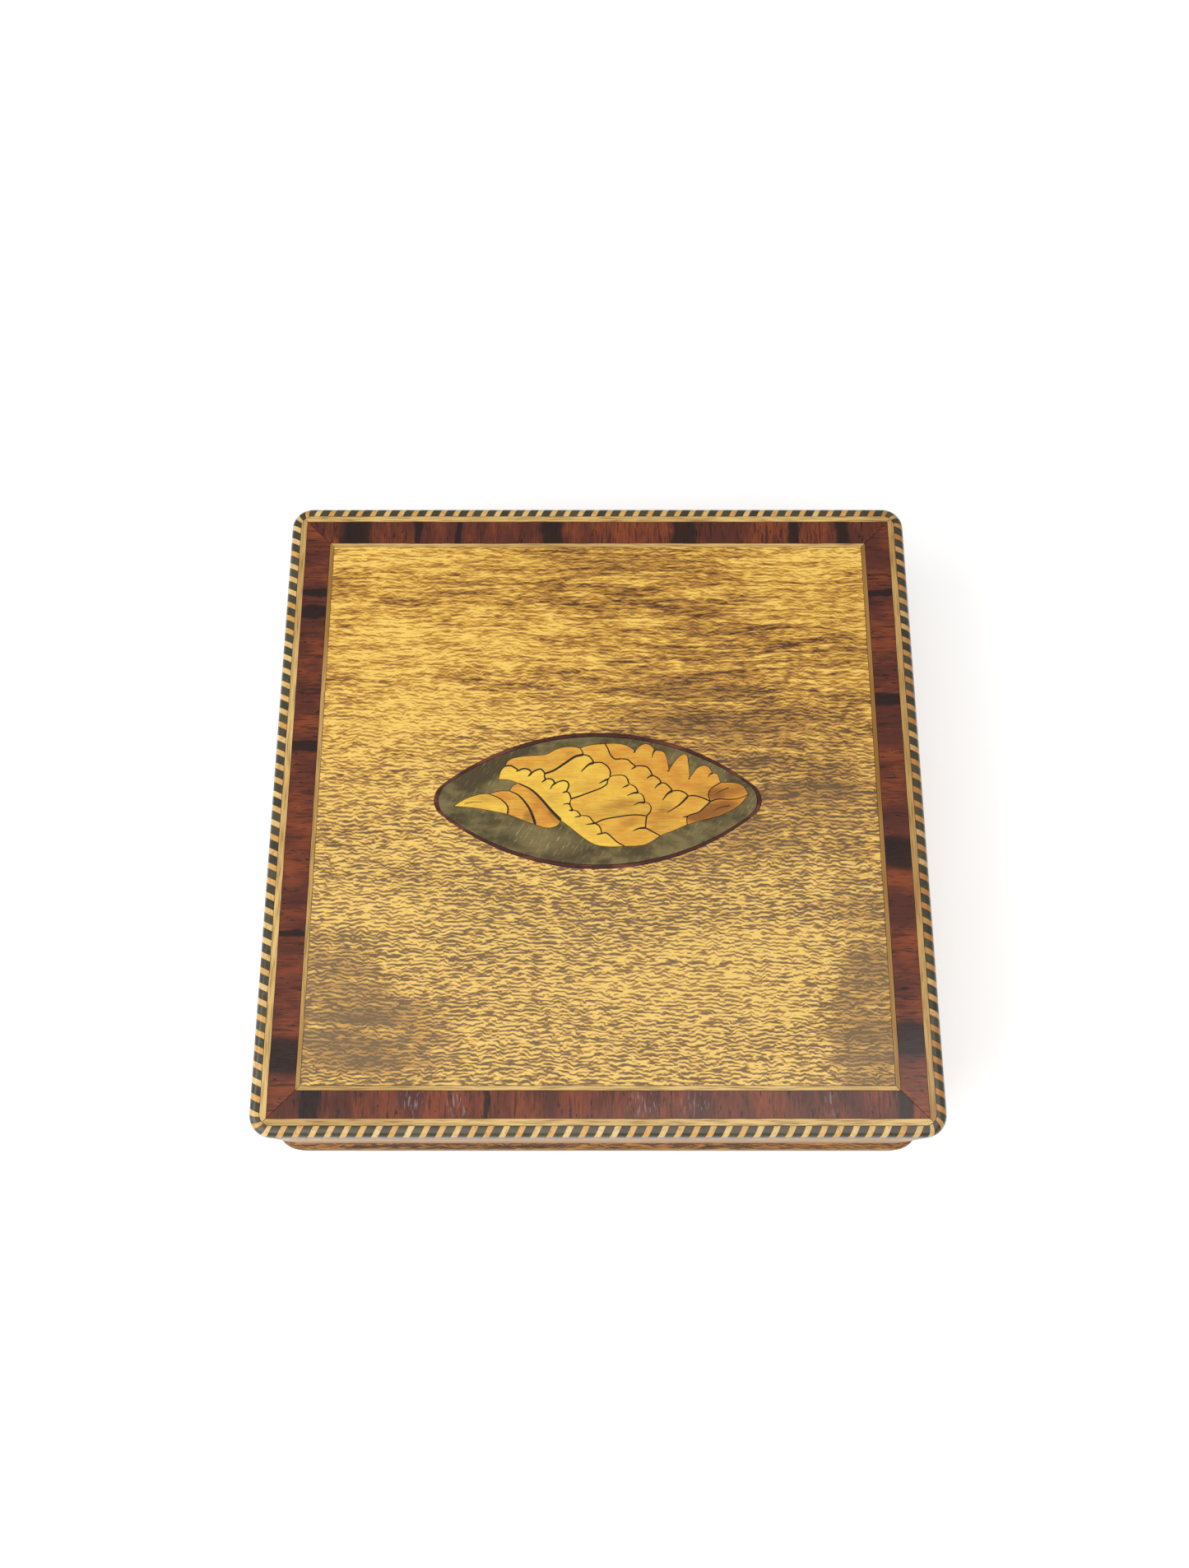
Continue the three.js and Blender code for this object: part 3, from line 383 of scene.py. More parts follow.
def rosewood(side):
    """Red-brown rosewood, its grain running across the banding."""
    woods = settings("woods")
    upright = side in ("left", "right")
    finish = Finish(f"rosewood_{side}", 0.34, coat=0.35)
    along, across = (finish.y, finish.x) if upright else (finish.x, finish.y)
    turned = finish.node("ShaderNodeCombineXYZ", values={0: along, 1: across, 2: finish.z})
    shift = (SIDES.index(side) * 17.0, 3.0, 0)
    broad = finish.noise((0.12, 0.05, 0.05), 3, 0.6, shift=shift, place=turned)
    streaks = finish.noise((1.1, 0.10, 0.1), 3, 0.65, 0.2, shift=shift, place=turned)
    hair = finish.noise((5.0, 0.35, 0.3), 2, 0.5, shift=shift, place=turned)
    pores = finish.noise((2.6, 0.45, 0.4), 1, 0.5, shift=(shift[0] + 5, 1, 0), place=turned).rise(0.66, 0.72)
    wood = finish.mix((broad * 0.55 + streaks * 0.45).rise(0.42, 0.60), woods.rose_middle, woods.rose_light)
    wood = finish.mix(streaks.rise(0.5, 0.64) * 0.75, wood, woods.rose_dark)
    wood = finish.mix(hair.rise(0.5, 0.75) * 0.35, wood, woods.rose_dark)
    wobble = (finish.noise((0.3, 0.25, 0.2), 2, shift=shift, place=turned) - 0.5) * 2.2
    black = sum(abs(along - middle + wobble).rise(half * 0.5, half * 1.25, 1.0, 0.0)
                for middle, half in ROSEWOOD_FIGURE[side])
    wood = finish.mix(black.rise(0.0, 1.0, 0.0, 0.9), wood, woods.rose_dark)
    wood = finish.mix(pores * 0.8, wood, tuple(c * 0.4 for c in woods.rose_dark))
    # Painted highlight: pale grey glints in the pores of the front banding, at a few places.
    glint_places = ((-40, 3), (-30, 2.4), (10, 3.5), (21, 3.5), (50, 1.5))
    glint_band = sum(finish.spot(x, -68, wide, 2.6) for x, wide in glint_places)
    pore_glints = finish.noise((3.4, 0.55, 0.5), 0, 0.5, shift=(31, 8, 0), place=turned).rise(0.62, 0.68)
    wood = finish.mix(pore_glints * glint_band * 0.35, wood, tint("#a9a6ad"))
    finish.bump(streaks - pores, 0.03, 0.4)
    return finish.done(wood, hair.rise(0.3, 0.7, 0.22, 0.36))


def boxwood(name, quarter_turns=0, browning=0.0):
    """A plain pale line, with its grain running along it; its last argument mixes it towards brown."""
    woods = settings("woods")
    finish = Finish(name, 0.32, coat=0.25, quarter_turns=quarter_turns)
    grain = finish.noise((0.14, 3.2, 3.0), 3, 0.6, 0.3)
    slow = finish.noise((0.03, 0.03, 0.03), 2)
    wood = finish.mix(grain.rise(0.42, 0.72), woods.box_light, woods.box_dark)
    wood = finish.mix(slow.rise(0.45, 0.7) * 0.45 + browning, wood, woods.satin_brown)
    finish.bump(grain, 0.02)
    return finish.done(wood, grain.rise(0.3, 0.7, 0.28, 0.4))


def rope_wood(name, light):
    """Slips of the rope stringing; each carries its own tone."""
    woods = settings("woods")
    finish = Finish(name, 0.3, coat=0.4)
    tone = finish.node("ShaderNodeAttribute", {"attribute_name": "tone"}, out="Fac")
    mottle = finish.noise((1.4, 1.4, 1.4), 3, 0.6)
    if light:
        wood = finish.mix(tone, woods.rope_light, tint("#d9a04e"))
        wood = finish.mix(mottle.rise(0.5, 0.75) * 0.7, wood, tint("#b06f2e"))
        wood = finish.mix(finish.x.rise(60, 73) * (tone * 0.4 + 0.35), wood, tint("#a8652f"))
    else:
        wood = finish.mix(tone, woods.rope_dark, tint("#393528"))
        wood = finish.mix(mottle.rise(0.5, 0.8) * 0.5, wood, tint("#6f6a48"))
    # Painted shade: the slips darken down the outer part of the rounded edge.
    edge = LID_TOP / MM - settings("rope").rounding / MM * 0.55
    rounding_shade = (finish.z + (mottle - 0.5) * 0.6).rise(edge - 0.3, edge + 0.1, 0.85, 0.0)
    wood = finish.mix(rounding_shade, wood, tint("#2b241c"))
    finish.bump(mottle, 0.03)
    return finish.done(wood, mottle.rise(0.3, 0.7, 0.25, 0.4))


def harewood():
    """Green-grey figured ground with hair-fine pale strokes."""
    woods = settings("woods")
    finish = Finish("harewood", 0.36, coat=0.25)
    cloud = finish.noise((0.12, 0.2, 0.2), 3, 0.6)
    slant = finish.node("ShaderNodeMapping", values={
        "Vector": finish.mm, "Rotation": (0, 0, math.radians(-58))})
    strokes = finish.noise((0.35, 3.4, 1.0), 2, 0.6, place=slant)
    grain = finish.noise((0.3, 4.5, 1.0), 2, 0.6)
    wood = finish.mix(cloud.rise(0.4, 0.66), woods.green_dark, woods.green_light)
    pale = sum(finish.spot(*spot) for spot in (
        (-15, -7.5, 5, 3), (-23.5, 3, 3, 1.5), (20, 12, 4, 3),
        (35.5, -1, 1.6, 4), (-9, -10, 6, 3), (28, 6, 2, 4)))
    wood = finish.mix(pale * 0.55, wood, woods.green_light)
    wood = finish.mix(strokes.rise(0.58, 0.72) * (pale * 0.6 + 0.34), wood, tint("#b3ab78"))
    wood = finish.mix(grain.rise(0.5, 0.8) * 0.4, wood, tint("#3d3626"))
    finish.bump(grain, 0.02)
    return finish.done(wood, grain.rise(0.3, 0.7, 0.3, 0.42))


# Sand shading on each piece of the shell: warmth all over, then scorched ovals
# (middle, half sizes, lean, strength).
SHELL_SHADING = {
    "shell_spire": (0.2, (
        (-24, 0.5, 5, 1.6, -12, 0.35), (-27.5, -0.2, 4, 1, 5, 0.3))),
    "shell_whorl": (0.65, (
        (-15.4, -4.4, 1.8, 1.6, -50, 0.9), (-17.5, -1.8, 2, 3.2, 30, 0.35))),
    "shell_body": (0.75, (
        (-9.2, -3.6, 1.8, 2.4, 40, 0.9), (-13.2, -0.3, 1.6, 4, 40, 0.5),
        (-14.8, -3, 1.2, 2, 0, 0.4))),
    "shell_lip": (0.08, (
        (-9.5, -0.5, 3, 2, -45, 0.4), (-3, -6.5, 3, 1.2, -35, 0.35),
        (2, -9.4, 2.5, 0.8, -30, 0.2))),
    "shell_crest": (0.55, (
        (-17, 9, 4.5, 1.4, 0, 0.25), (-10, 9, 5, 1.4, 25, 0.35),
        (-5, 11, 2.5, 1.2, 0, 0.3))),
    "shell_fold": (0.2, (
        (-3, 3.4, 5, 1.6, 12, 0.45), (-8, 5.6, 4, 1.4, 20, 0.3),
        (0.8, 7.4, 2, 1.2, 0, 0.25))),
    "shell_belly": (0.35, (
        (8, -2, 6, 2.6, 0, 0.5), (0, -3.2, 5, 1.8, -5, 0.5),
        (4.5, -0.8, 5, 1.3, 4, 0.35))),
    "shell_base": (0.55, (
        (8.6, -5, 3.6, 1.2, 8, 0.5), (4.5, -7, 4, 1.2, 20, 0.4),
        (10.2, -8.2, 2, 1.2, 0, 0.2))),
    "shell_mantle": (0.55, (
        (14.6, -4.6, 4.4, 3.4, 20, 0.6), (16, -1, 3, 1.2, 45, 0.35),
        (3.4, 8.6, 3, 1.5, -20, 0.25), (21.5, -0.8, 3, 1.2, 10, 0.3))),
    "shell_plume": (0.7, (
        (18.4, 5.5, 4, 2, -20, 0.3), (24.5, 2.2, 2.6, 1.8, -20, 0.6),
        (7, 10.6, 3, 1, -12, 0.3))),
    "shell_leaf_upper": (1.0, (
        (29, 2, 6, 1.6, 8, 1.0), (26.8, 1, 2.2, 1.6, 0, 0.6))),
    "shell_leaf_lower": (1.0, (
        (26.5, -2.4, 6, 1.9, 14, 1.5), (22.4, -4, 2.6, 1.3, 20, 0.9))),
}


def shell_wood(piece):
    """Pale wood of the shell, scorched at its edges."""
    woods = settings("woods")
    finish = Finish(piece + "_wood", 0.33, coat=0.25)
    warmth, scorched = SHELL_SHADING[piece]
    grain = finish.noise((0.22, 2.8, 1.0), 3, 0.6, 0.3)
    fine = finish.noise((0.7, 6.0, 1.0), 2, 0.5)
    blotch = finish.noise((0.2, 0.4, 1.0), 2)
    wood = finish.mix((grain * 0.5 + blotch * 0.5).rise(0.35, 0.65) * 0.5 + (warmth - 0.15),
                      woods.shell_light, woods.shell_gold)
    burnt = finish.spots(scorched)
    wood = finish.mix((burnt * (grain * 1.2 + 0.4)).rise(0.0, 1.6, 0.0, 0.85), wood, woods.shell_burnt)
    wood = finish.mix(fine.rise(0.52, 0.75) * 0.35, wood, woods.shell_burnt)
    finish.bump(grain, 0.02)
    return finish.done(wood, fine.rise(0.3, 0.7, 0.28, 0.4))


def plain_wood(name, main, code, roughness=0.5, coat=0.0, quarter_turns=0):
    """A plain board wood with straight grain and open pores."""
    finish = Finish(name, roughness, coat=coat, quarter_turns=quarter_turns)
    broad = finish.noise((0.012, 0.14, 0.14), 3, 0.6, 0.4)
    grain = finish.noise((0.08, 2.4, 2.4), 3, 0.6, 0.2)
    pores = finish.noise((0.5, 5.0, 5.0), 1, 0.5).rise(0.62, 0.72)
    dark = tint(code)
    wood = finish.mix((broad * 0.5 + grain * 0.5).rise(0.36, 0.66), main, dark)
    wood = finish.mix(pores * 0.5, wood, tuple(c * 0.5 for c in dark))
    finish.bump(grain - pores, 0.05, 0.4)
    return finish.done(wood, grain.rise(0.3, 0.7, roughness - 0.06, roughness + 0.1))


def dark_line():
    woods = settings("woods")
    finish = Finish("dark_line", 0.3, coat=0.25)
    grain = finish.noise((0.8, 2.0, 2.0), 3, 0.6)
    wood = finish.mix(grain.rise(0.4, 0.7), woods.line_dark, tint("#2c1714"))
    wood = finish.mix(finish.noise((0.1, 0.3, 0.3), 2).rise(0.5, 0.66) * 0.6, wood, tint("#8a4a3c"))
    finish.bump(grain, 0.02)
    return finish.done(wood, grain.rise(0.3, 0.7, 0.28, 0.4))


def mastic():
    woods = settings("woods")
    finish = Finish("mastic", 0.45, coat=0.3)
    speck = finish.noise((3, 3, 3), 2)
    finish.bump(speck, 0.01)
    filling = finish.mix(speck.rise(0.45, 0.8), woods.mastic, tint("#46290f"))
    return finish.done(filling, speck.rise(0.3, 0.7, 0.4, 0.55))


def brass():
    """Aged brass: drawn marks, darker in patches."""
    woods = settings("woods")
    finish = Finish("aged_brass", 0.34, metallic=1.0)
    marks = finish.noise((0.4, 9, 9), 2, 0.6)
    patches = finish.noise((0.35, 0.35, 0.35), 3, 0.6)
    metal = finish.mix(patches.rise(0.48, 0.7) * 0.7, woods.brass, tint("#6e5128"))
    metal = finish.mix(marks.rise(0.5, 0.8) * 0.3, metal, tint("#e0bd74"))
    finish.bump(marks, 0.01)
    return finish.done(metal, patches.rise(0.3, 0.7, 0.26, 0.5))


# ---------------------------------------------------------------- mesh helpers


def mesh_of(bm, name, *materials):
    """What was built, as a mesh."""
    mesh = bpy.data.meshes.new(name)
    bm.to_mesh(mesh)
    bm.free()
    for material in materials:
        mesh.materials.append(material)
    return mesh


def placed(name, mesh):
    """An object at the origin, in the scene."""
    piece = bpy.data.objects.new(name, mesh)
    bpy.context.scene.collection.objects.link(piece)
    return piece


def seat(piece, body, slot, *replaced):
    """Lets a piece ride on a body, in place of CAD nodes if any are named."""
    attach(piece, body)
    if replaced:
        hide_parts(*replaced)


def settled(piece):
    """The piece's mesh with its modifiers worked in."""
    bpy.context.view_layer.update()
    graph = bpy.context.evaluated_depsgraph_get()
    mesh = bpy.data.meshes.new_from_object(piece.evaluated_get(graph), depsgraph=graph)
    piece.modifiers.clear()
    piece.data = mesh
    return piece


def grown(name, tree, values):
    """A piece laid out by a node tree from named values, as a plain mesh."""
    piece = placed(name, bpy.data.meshes.new(name))
    modifier = piece.modifiers.new(name, "NODES")
    modifier.node_group = tree
    sockets = {item.name: item.identifier for item in tree.interface.items_tree if item.in_out == "INPUT"}
    for label, value in values.items():
        modifier[sockets[label]] = value
    return settled(piece)


def mark_smooth(bm):
    for face in bm.faces:
        face.smooth = True
    for edge in bm.edges:
        edge.smooth = len(edge.link_faces) == 2 and edge.calc_face_angle(math.pi) < SHARP


def eased_copy(node, body, slot, materials, edge, pick=None, sink=0.0):
    """A node's own shape with its edges softened; pick chooses each face's material, sink lowers its top."""
    bm = bmesh.new()
    bm.from_mesh(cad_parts[node].data)
    bmesh.ops.remove_doubles(bm, verts=bm.verts, dist=1e-6)
    for vert in bm.verts:
        if vert.co.z > LID_TOP - 0.1 * MM:
            vert.co.z -= sink
    bmesh.ops.dissolve_limit(bm, angle_limit=math.radians(0.5), verts=bm.verts, edges=bm.edges)
    for face in bm.faces:
        face.material_index = pick(face) if pick else 0
    mark_smooth(bm)
    name = node + "_finished"
    piece = placed(name, mesh_of(bm, name, *materials))
    bevel = piece.modifiers.new("eased edges", "BEVEL")
    bevel.width = edge
    bevel.segments = 2
    bevel.limit_method = "ANGLE"
    bevel.angle_limit = SHARP
    bevel.harden_normals = True
    seat(settled(piece), body, slot, node)


def paint_nodes(material, *nodes):
    """Gives CAD nodes a material in place of the one they came with."""
    for node in nodes:
        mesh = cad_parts[node].data
        mesh.materials.clear()
        mesh.materials.append(material)


# ---------------------------------------------------------------- operators


class BOX_OT_stage(bpy.types.Operator):
    """Camera, pale floor and soft light"""

    bl_idname = "inlaid_box.stage"
    bl_label = "Stage"

    def execute(self, context):
        stage = settings("stage")
        lens = bpy.data.cameras.new("camera")
        lens.lens = stage.lens
        lens.sensor_width = 36
        lens.clip_start = 0.01
        camera = bpy.data.objects.new("camera", lens)
        camera.location = Vector((0, 0, LID_TOP)) + Vector(stage.camera)
        camera.rotation_euler = (stage.tilt, 0, 0)
        context.scene.collection.objects.link(camera)
        context.scene.camera = camera
        self.floor(stage)
        self.lights(context)
        world = bpy.data.worlds.new("room")
        world.use_nodes = True
        sky = world.node_tree.nodes["Background"]
        sky.inputs["Color"].default_value = (0.93, 0.96, 1.0, 1)
        sky.inputs["Strength"].default_value = stage.daylight
        context.scene.world = world
        context.scene.view_settings.view_transform = "Standard"
        return {"FINISHED"}

    def floor(self, stage):
        bm = bmesh.new()
        bmesh.ops.create_grid(bm, x_segments=1, y_segments=1, size=3)
        finish = Finish("floor", 0.8)
        grain = finish.noise((0.05, 0.05, 0.05), 2)
        finish.shader.inputs["Emission Strength"].default_value = 0.34
        finish.feed("Emission Color", (1, 1, 1, 1))
        pale = finish.done(finish.mix(grain * 0.1, stage.floor, tint("#ececea")))
        floor = placed("floor", mesh_of(bm, "floor", pale))

    def lights(self, context):
        # Place, size, strength and colour; each faces the box.
        lamps = (
            ("window_left", (-0.75, -0.35, 0.75), 0.9, 7.2, (0.95, 0.98, 1.0)),
            ("ceiling", (0.15, -0.6, 1.5), 1.4, 12.0, (1.0, 0.98, 0.95)),
        )
        for name, place, size, watts, tone in lamps:
            lamp = bpy.data.lights.new(name, "AREA")
            lamp.shape = "SQUARE"
            lamp.size = size
            lamp.energy = watts
            lamp.color = tone
            lit = bpy.data.objects.new(name, lamp)
            lit.location = place
            lit.rotation_euler = Vector(place).to_track_quat("Z", "Y").to_euler()
            lit.visible_camera = False
            context.scene.collection.objects.link(lit)


class BOX_OT_lid(bpy.types.Operator):
    """Lid board, satinwood field, bandings and lines"""

    bl_idname = "inlaid_box.lid"
    bl_label = "Lid"

    def execute(self, context):
        woods = settings("woods")
        mahogany = plain_wood("mahogany_lid", woods.mahogany, MAHOGANY_DARK, 0.4, 0.2)

        def pick(face):
            if abs(face.normal.z) > 0.7:
                return 0
            return 1 if abs(face.normal.y) > abs(face.normal.x) else 2

        # The lid's edge faces are darkened as painted shade.
        finishes = (mahogany, *satin_pair("satinwood_edge", 0.14))
        eased_copy("lid_ground", "lid", "mahogany", finishes, settings("edges").wood, pick)
        paint_nodes(satinwood("satinwood_field", field=True), "field")
        for side in SIDES:
            paint_nodes(rosewood(side), f"crossband_{side}")
        # How much browner the inner and outer lines are made on each side.
        for side, inner, outer in (("front", 0, 0), ("right", 0.8, 0.4), ("back", 0.1, 0), ("left", 0.45, 0)):
            turns = SIDES.index(side) % 2
            paint_nodes(boxwood(f"inner_boxwood_{side}", turns, inner), f"inner_line_{side}")
            paint_nodes(boxwood(f"outer_boxwood_{side}", turns, outer), f"outer_line_{side}")
        return {"FINISHED"}


SLIP_GAP = 0.04 * MM    # between neighbouring slips


class BOX_OT_rope(bpy.types.Operator):
    """Rope stringing round the lid's top edge, slip by slip"""

    bl_idname = "inlaid_box.rope"
    bl_label = "Rope stringing"

    def slip(self, name, width, material):
        """One slanted slip, straight along X, its section following the rounded edge."""
        rope = settings("rope")
        deep = ROPE_HIGH.z - ROPE_LOW.z
        wide = HALF - self.inside
        round_edge = rope.rounding
        section = [(-wide, -deep), (-wide, 0), (-wide * 0.85, 0), (-round_edge, 0)]
        section += [(-round_edge + round_edge * math.sin(t), round_edge * math.cos(t) - round_edge)
                    for t in (math.pi / 2 * i / 6 for i in range(1, 7))]
        section.append((0, -deep))
        leans, run = [0.0], 0.0
        for before, after in zip(section[1:], section[2:]):
            run += math.dist(before, after)
            leans.append(run)
        leans = [0.0] + leans
        bm = bmesh.new()
        steps = 3
        rows = []
        for (out, down), lean in zip(section, leans):
            start = -math.tan(rope.slant) * lean
            rows.append([bm.verts.new((start + width * i / steps, out, down)) for i in range(steps + 1)])
        for row, following in zip(rows, rows[1:] + rows[:1]):
            for i in range(steps):
                bm.faces.new((row[i], row[i + 1], following[i + 1], following[i]))
        bm.faces.new([row[0] for row in rows])
        bm.faces.new([row[-1] for row in reversed(rows)])
        bmesh.ops.recalc_face_normals(bm, faces=bm.faces)
        mark_smooth(bm)
        return bpy.data.objects.new(name, mesh_of(bm, name, material))

    def execute(self, context):
        rope = settings("rope")
        self.inside = -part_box("rope_line_front")[1].y
        flat = HALF - rope.corner
        around = 8 * flat + 2 * math.pi * rope.corner
        count = round(around / rope.pitch)
        pitch = around / count
        dark_width = pitch - rope.light
        light = self.slip("light_slip", rope.light - SLIP_GAP, rope_wood("rope_light", True))
        dark = self.slip("dark_slip", dark_width - SLIP_GAP, rope_wood("rope_dark", False))
        piece = grown("rope_stringing", rope_tree(), {
            "Light slip": light, "Dark slip": dark, "Side": HALF * 2, "Corner": rope.corner, "Top": LID_TOP,
            "Pitch": pitch, "Count": count, "Light width": rope.light,
            "Light wood": light.data.materials[0], "Dark wood": dark.data.materials[0],
        })
        seat(piece, "lid", "rope_stringing", *[f"rope_line_{side}" for side in SIDES])
        return {"FINISHED"}


class Weave:
    """Adds and links the nodes of one Geometry Nodes tree."""

    def __init__(self, name, inputs):
        self.tree = bpy.data.node_groups.new(name, "GeometryNodeTree")
        self.tree.interface.new_socket("Geometry", in_out="OUTPUT", socket_type="NodeSocketGeometry")
        for label, kind in inputs:
            self.tree.interface.new_socket(label, in_out="INPUT", socket_type=kind)
        self.inputs = self.tree.nodes.new("NodeGroupInput")
        self.output = self.tree.nodes.new("NodeGroupOutput")

    def add(self, kind, settings=None, values=None):
        node = self.tree.nodes.new(kind)
        for key, value in (settings or {}).items():
            setattr(node, key, value)
        for key, value in (values or {}).items():
            if isinstance(value, bpy.types.NodeSocket):
                self.tree.links.new(value, node.inputs[key])
            else:
                node.inputs[key].default_value = value
        return node

    def maths(self, operation, first, second=0.0):
        return self.add("ShaderNodeMath", {"operation": operation}, {0: first, 1: second}).outputs[0]

    def vector(self, operation, first, second=(0, 0, 0)):
        return self.add("ShaderNodeVectorMath", {"operation": operation}, {0: first, 1: second})

    def given(self, name):
        return self.inputs.outputs[name]

    def finish(self, geometry):
        self.tree.links.new(geometry, self.output.inputs[0])
        return self.tree


def rope_tree():
    """Lays slips end to end along a rounded square, bending each to follow it."""
    weave = Weave("rope stringing", (
        ("Light slip", "NodeSocketObject"), ("Dark slip", "NodeSocketObject"), ("Side", "NodeSocketFloat"),
        ("Corner", "NodeSocketFloat"), ("Top", "NodeSocketFloat"), ("Pitch", "NodeSocketFloat"),
        ("Count", "NodeSocketInt"), ("Light width", "NodeSocketFloat"),
        ("Light wood", "NodeSocketMaterial"), ("Dark wood", "NodeSocketMaterial"),
    ))
    square = weave.add("GeometryNodeCurvePrimitiveQuadrilateral", values={
        "Width": weave.given("Side"), "Height": weave.given("Side")})
    path = weave.add("GeometryNodeFilletCurve", values={
        "Curve": square.outputs[0], "Radius": weave.given("Corner")})
    path.mode = "POLY"
    path.inputs["Count"].default_value = 12
    track = path.outputs[0]
    laid = []
    for number, slip in enumerate(("Light slip", "Dark slip")):
        first = weave.add("ShaderNodeCombineXYZ", values={
            0: weave.maths("MULTIPLY", weave.given("Light width"), float(number))})
        step = weave.add("ShaderNodeCombineXYZ", values={0: weave.given("Pitch")})
        line = weave.add("GeometryNodeMeshLine", {"mode": "OFFSET"}, {
            "Count": weave.given("Count"), "Start Location": first.outputs[0], "Offset": step.outputs[0]})
        shape = weave.add("GeometryNodeObjectInfo", values={0: weave.given(slip)})
        copies = weave.add("GeometryNodeInstanceOnPoints", values={
            "Points": line.outputs[0], "Instance": shape.outputs["Geometry"]})
        tone = weave.add("FunctionNodeRandomValue", {"data_type": "FLOAT"}, {"Seed": 11 + number})
        toned = weave.add("GeometryNodeStoreNamedAttribute", {"data_type": "FLOAT", "domain": "INSTANCE"}, {
            "Geometry": copies.outputs[0], "Name": "tone", "Value": tone.outputs[1]})
        marked = weave.add("GeometryNodeStoreNamedAttribute", {"data_type": "BOOLEAN", "domain": "INSTANCE"}, {
            "Geometry": toned.outputs[0], "Name": "dark", "Value": number == 1})
        laid.append(weave.add("GeometryNodeRealizeInstances", values={0: marked.outputs[0]}).outputs[0])
    joined = weave.add("GeometryNodeJoinGeometry")
    for geometry in laid:
        weave.tree.links.new(geometry, joined.inputs[0])
    place = weave.add("ShaderNodeSeparateXYZ", values={0: weave.add("GeometryNodeInputPosition").outputs[0]})
    total = weave.add("GeometryNodeCurveLength", values={0: track}).outputs[0]
    along = weave.maths("WRAP", place.outputs[0])
    weave.tree.links.new(total, along.node.inputs[1])
    along.node.inputs[2].default_value = 0.0
    sample = weave.add("GeometryNodeSampleCurve", {"mode": "LENGTH"}, {"Curves": track, "Length": along})
    outward = weave.vector("CROSS_PRODUCT", sample.outputs["Tangent"], (0, 0, 1)).outputs[0]
    moved = weave.add("ShaderNodeVectorMath", {"operation": "SCALE"}, {0: outward, "Scale": place.outputs[1]})
    height = weave.add("ShaderNodeCombineXYZ", values={
        2: weave.maths("ADD", place.outputs[2], weave.given("Top"))})
    ground = weave.vector("ADD", sample.outputs["Position"], moved.outputs[0]).outputs[0]
    target = weave.vector("ADD", ground, height.outputs[0]).outputs[0]
    bent = weave.add("GeometryNodeSetPosition", values={"Geometry": joined.outputs[0], "Position": target})
    # Bending turns each slip inside out, so its faces are turned back.
    turned = weave.add("GeometryNodeFlipFaces", values={"Mesh": bent.outputs[0]})
    whole = weave.add("GeometryNodeRealizeInstances", values={0: turned.outputs[0]})
    dark = weave.add("GeometryNodeInputNamedAttribute", {"data_type": "BOOLEAN"}, {"Name": "dark"})
    light = weave.add("FunctionNodeBooleanMath", {"operation": "NOT"}, {0: dark.outputs["Attribute"]})
    pale = weave.add("GeometryNodeSetMaterial", values={
        "Geometry": whole.outputs[0], "Selection": light.outputs[0], "Material": weave.given("Light wood")})
    both = weave.add("GeometryNodeSetMaterial", values={
        "Geometry": pale.outputs[0], "Selection": dark.outputs["Attribute"],
        "Material": weave.given("Dark wood")})
    return weave.finish(both.outputs[0])


class BOX_OT_case(bpy.types.Operator):
    """Walls, boards, linings and rails of the case"""

    bl_idname = "inlaid_box.case"
    bl_label = "Case"

    def execute(self, context):
        woods = settings("woods")
        edge = settings("edges").wood
        along = satin_pair("satinwood_wall")
        for side in SIDES:
            # The back wall is thin behind its hinge beds, so its edges are sharper.
            ease = edge / 2 if side == "back" else edge
            eased_copy(f"wall_{side}", "case", "satinwood", (along[SIDES.index(side) % 2],), ease)
        mahogany = plain_wood("mahogany", woods.mahogany, MAHOGANY_DARK)
        cedar = plain_wood("cedar", woods.cedar, CEDAR_DARK, 0.55)
        cedar_turned = plain_wood("cedar_turned", woods.cedar, CEDAR_DARK, 0.55, quarter_turns=1)
        for node in ("case_bottom", "rail_front", "rail_back"):
            eased_copy(node, "case", "mahogany", (mahogany,), edge)
        for node in ("compartment_floor", "lock_strip", "lining_back"):
            eased_copy(node, "case", "cedar", (cedar,), edge)
        for node in ("lining_left", "lining_right"):
            eased_copy(node, "case", "cedar", (cedar_turned,), edge)
        return {"FINISHED"}


class BOX_OT_base(bpy.types.Operator):
    """Sliding base with its rounded mouldings"""

    bl_idname = "inlaid_box.base"
    bl_label = "Base"

    def execute(self, context):
        woods = settings("woods")
        edge = settings("edges").wood
        # The mouldings are darkened as painted shade.
        along = satin_pair("satinwood_moulding", 0.22)
        for side in SIDES:
            eased_copy(f"moulding_{side}", "base", "satinwood", (along[SIDES.index(side) % 2],), edge)
        mahogany = plain_wood("mahogany_base", woods.mahogany, MAHOGANY_DARK)
        eased_copy("base_plate", "base", "mahogany", (mahogany,), edge)
        return {"FINISHED"}


# ---------------------------------------------------------------- shell

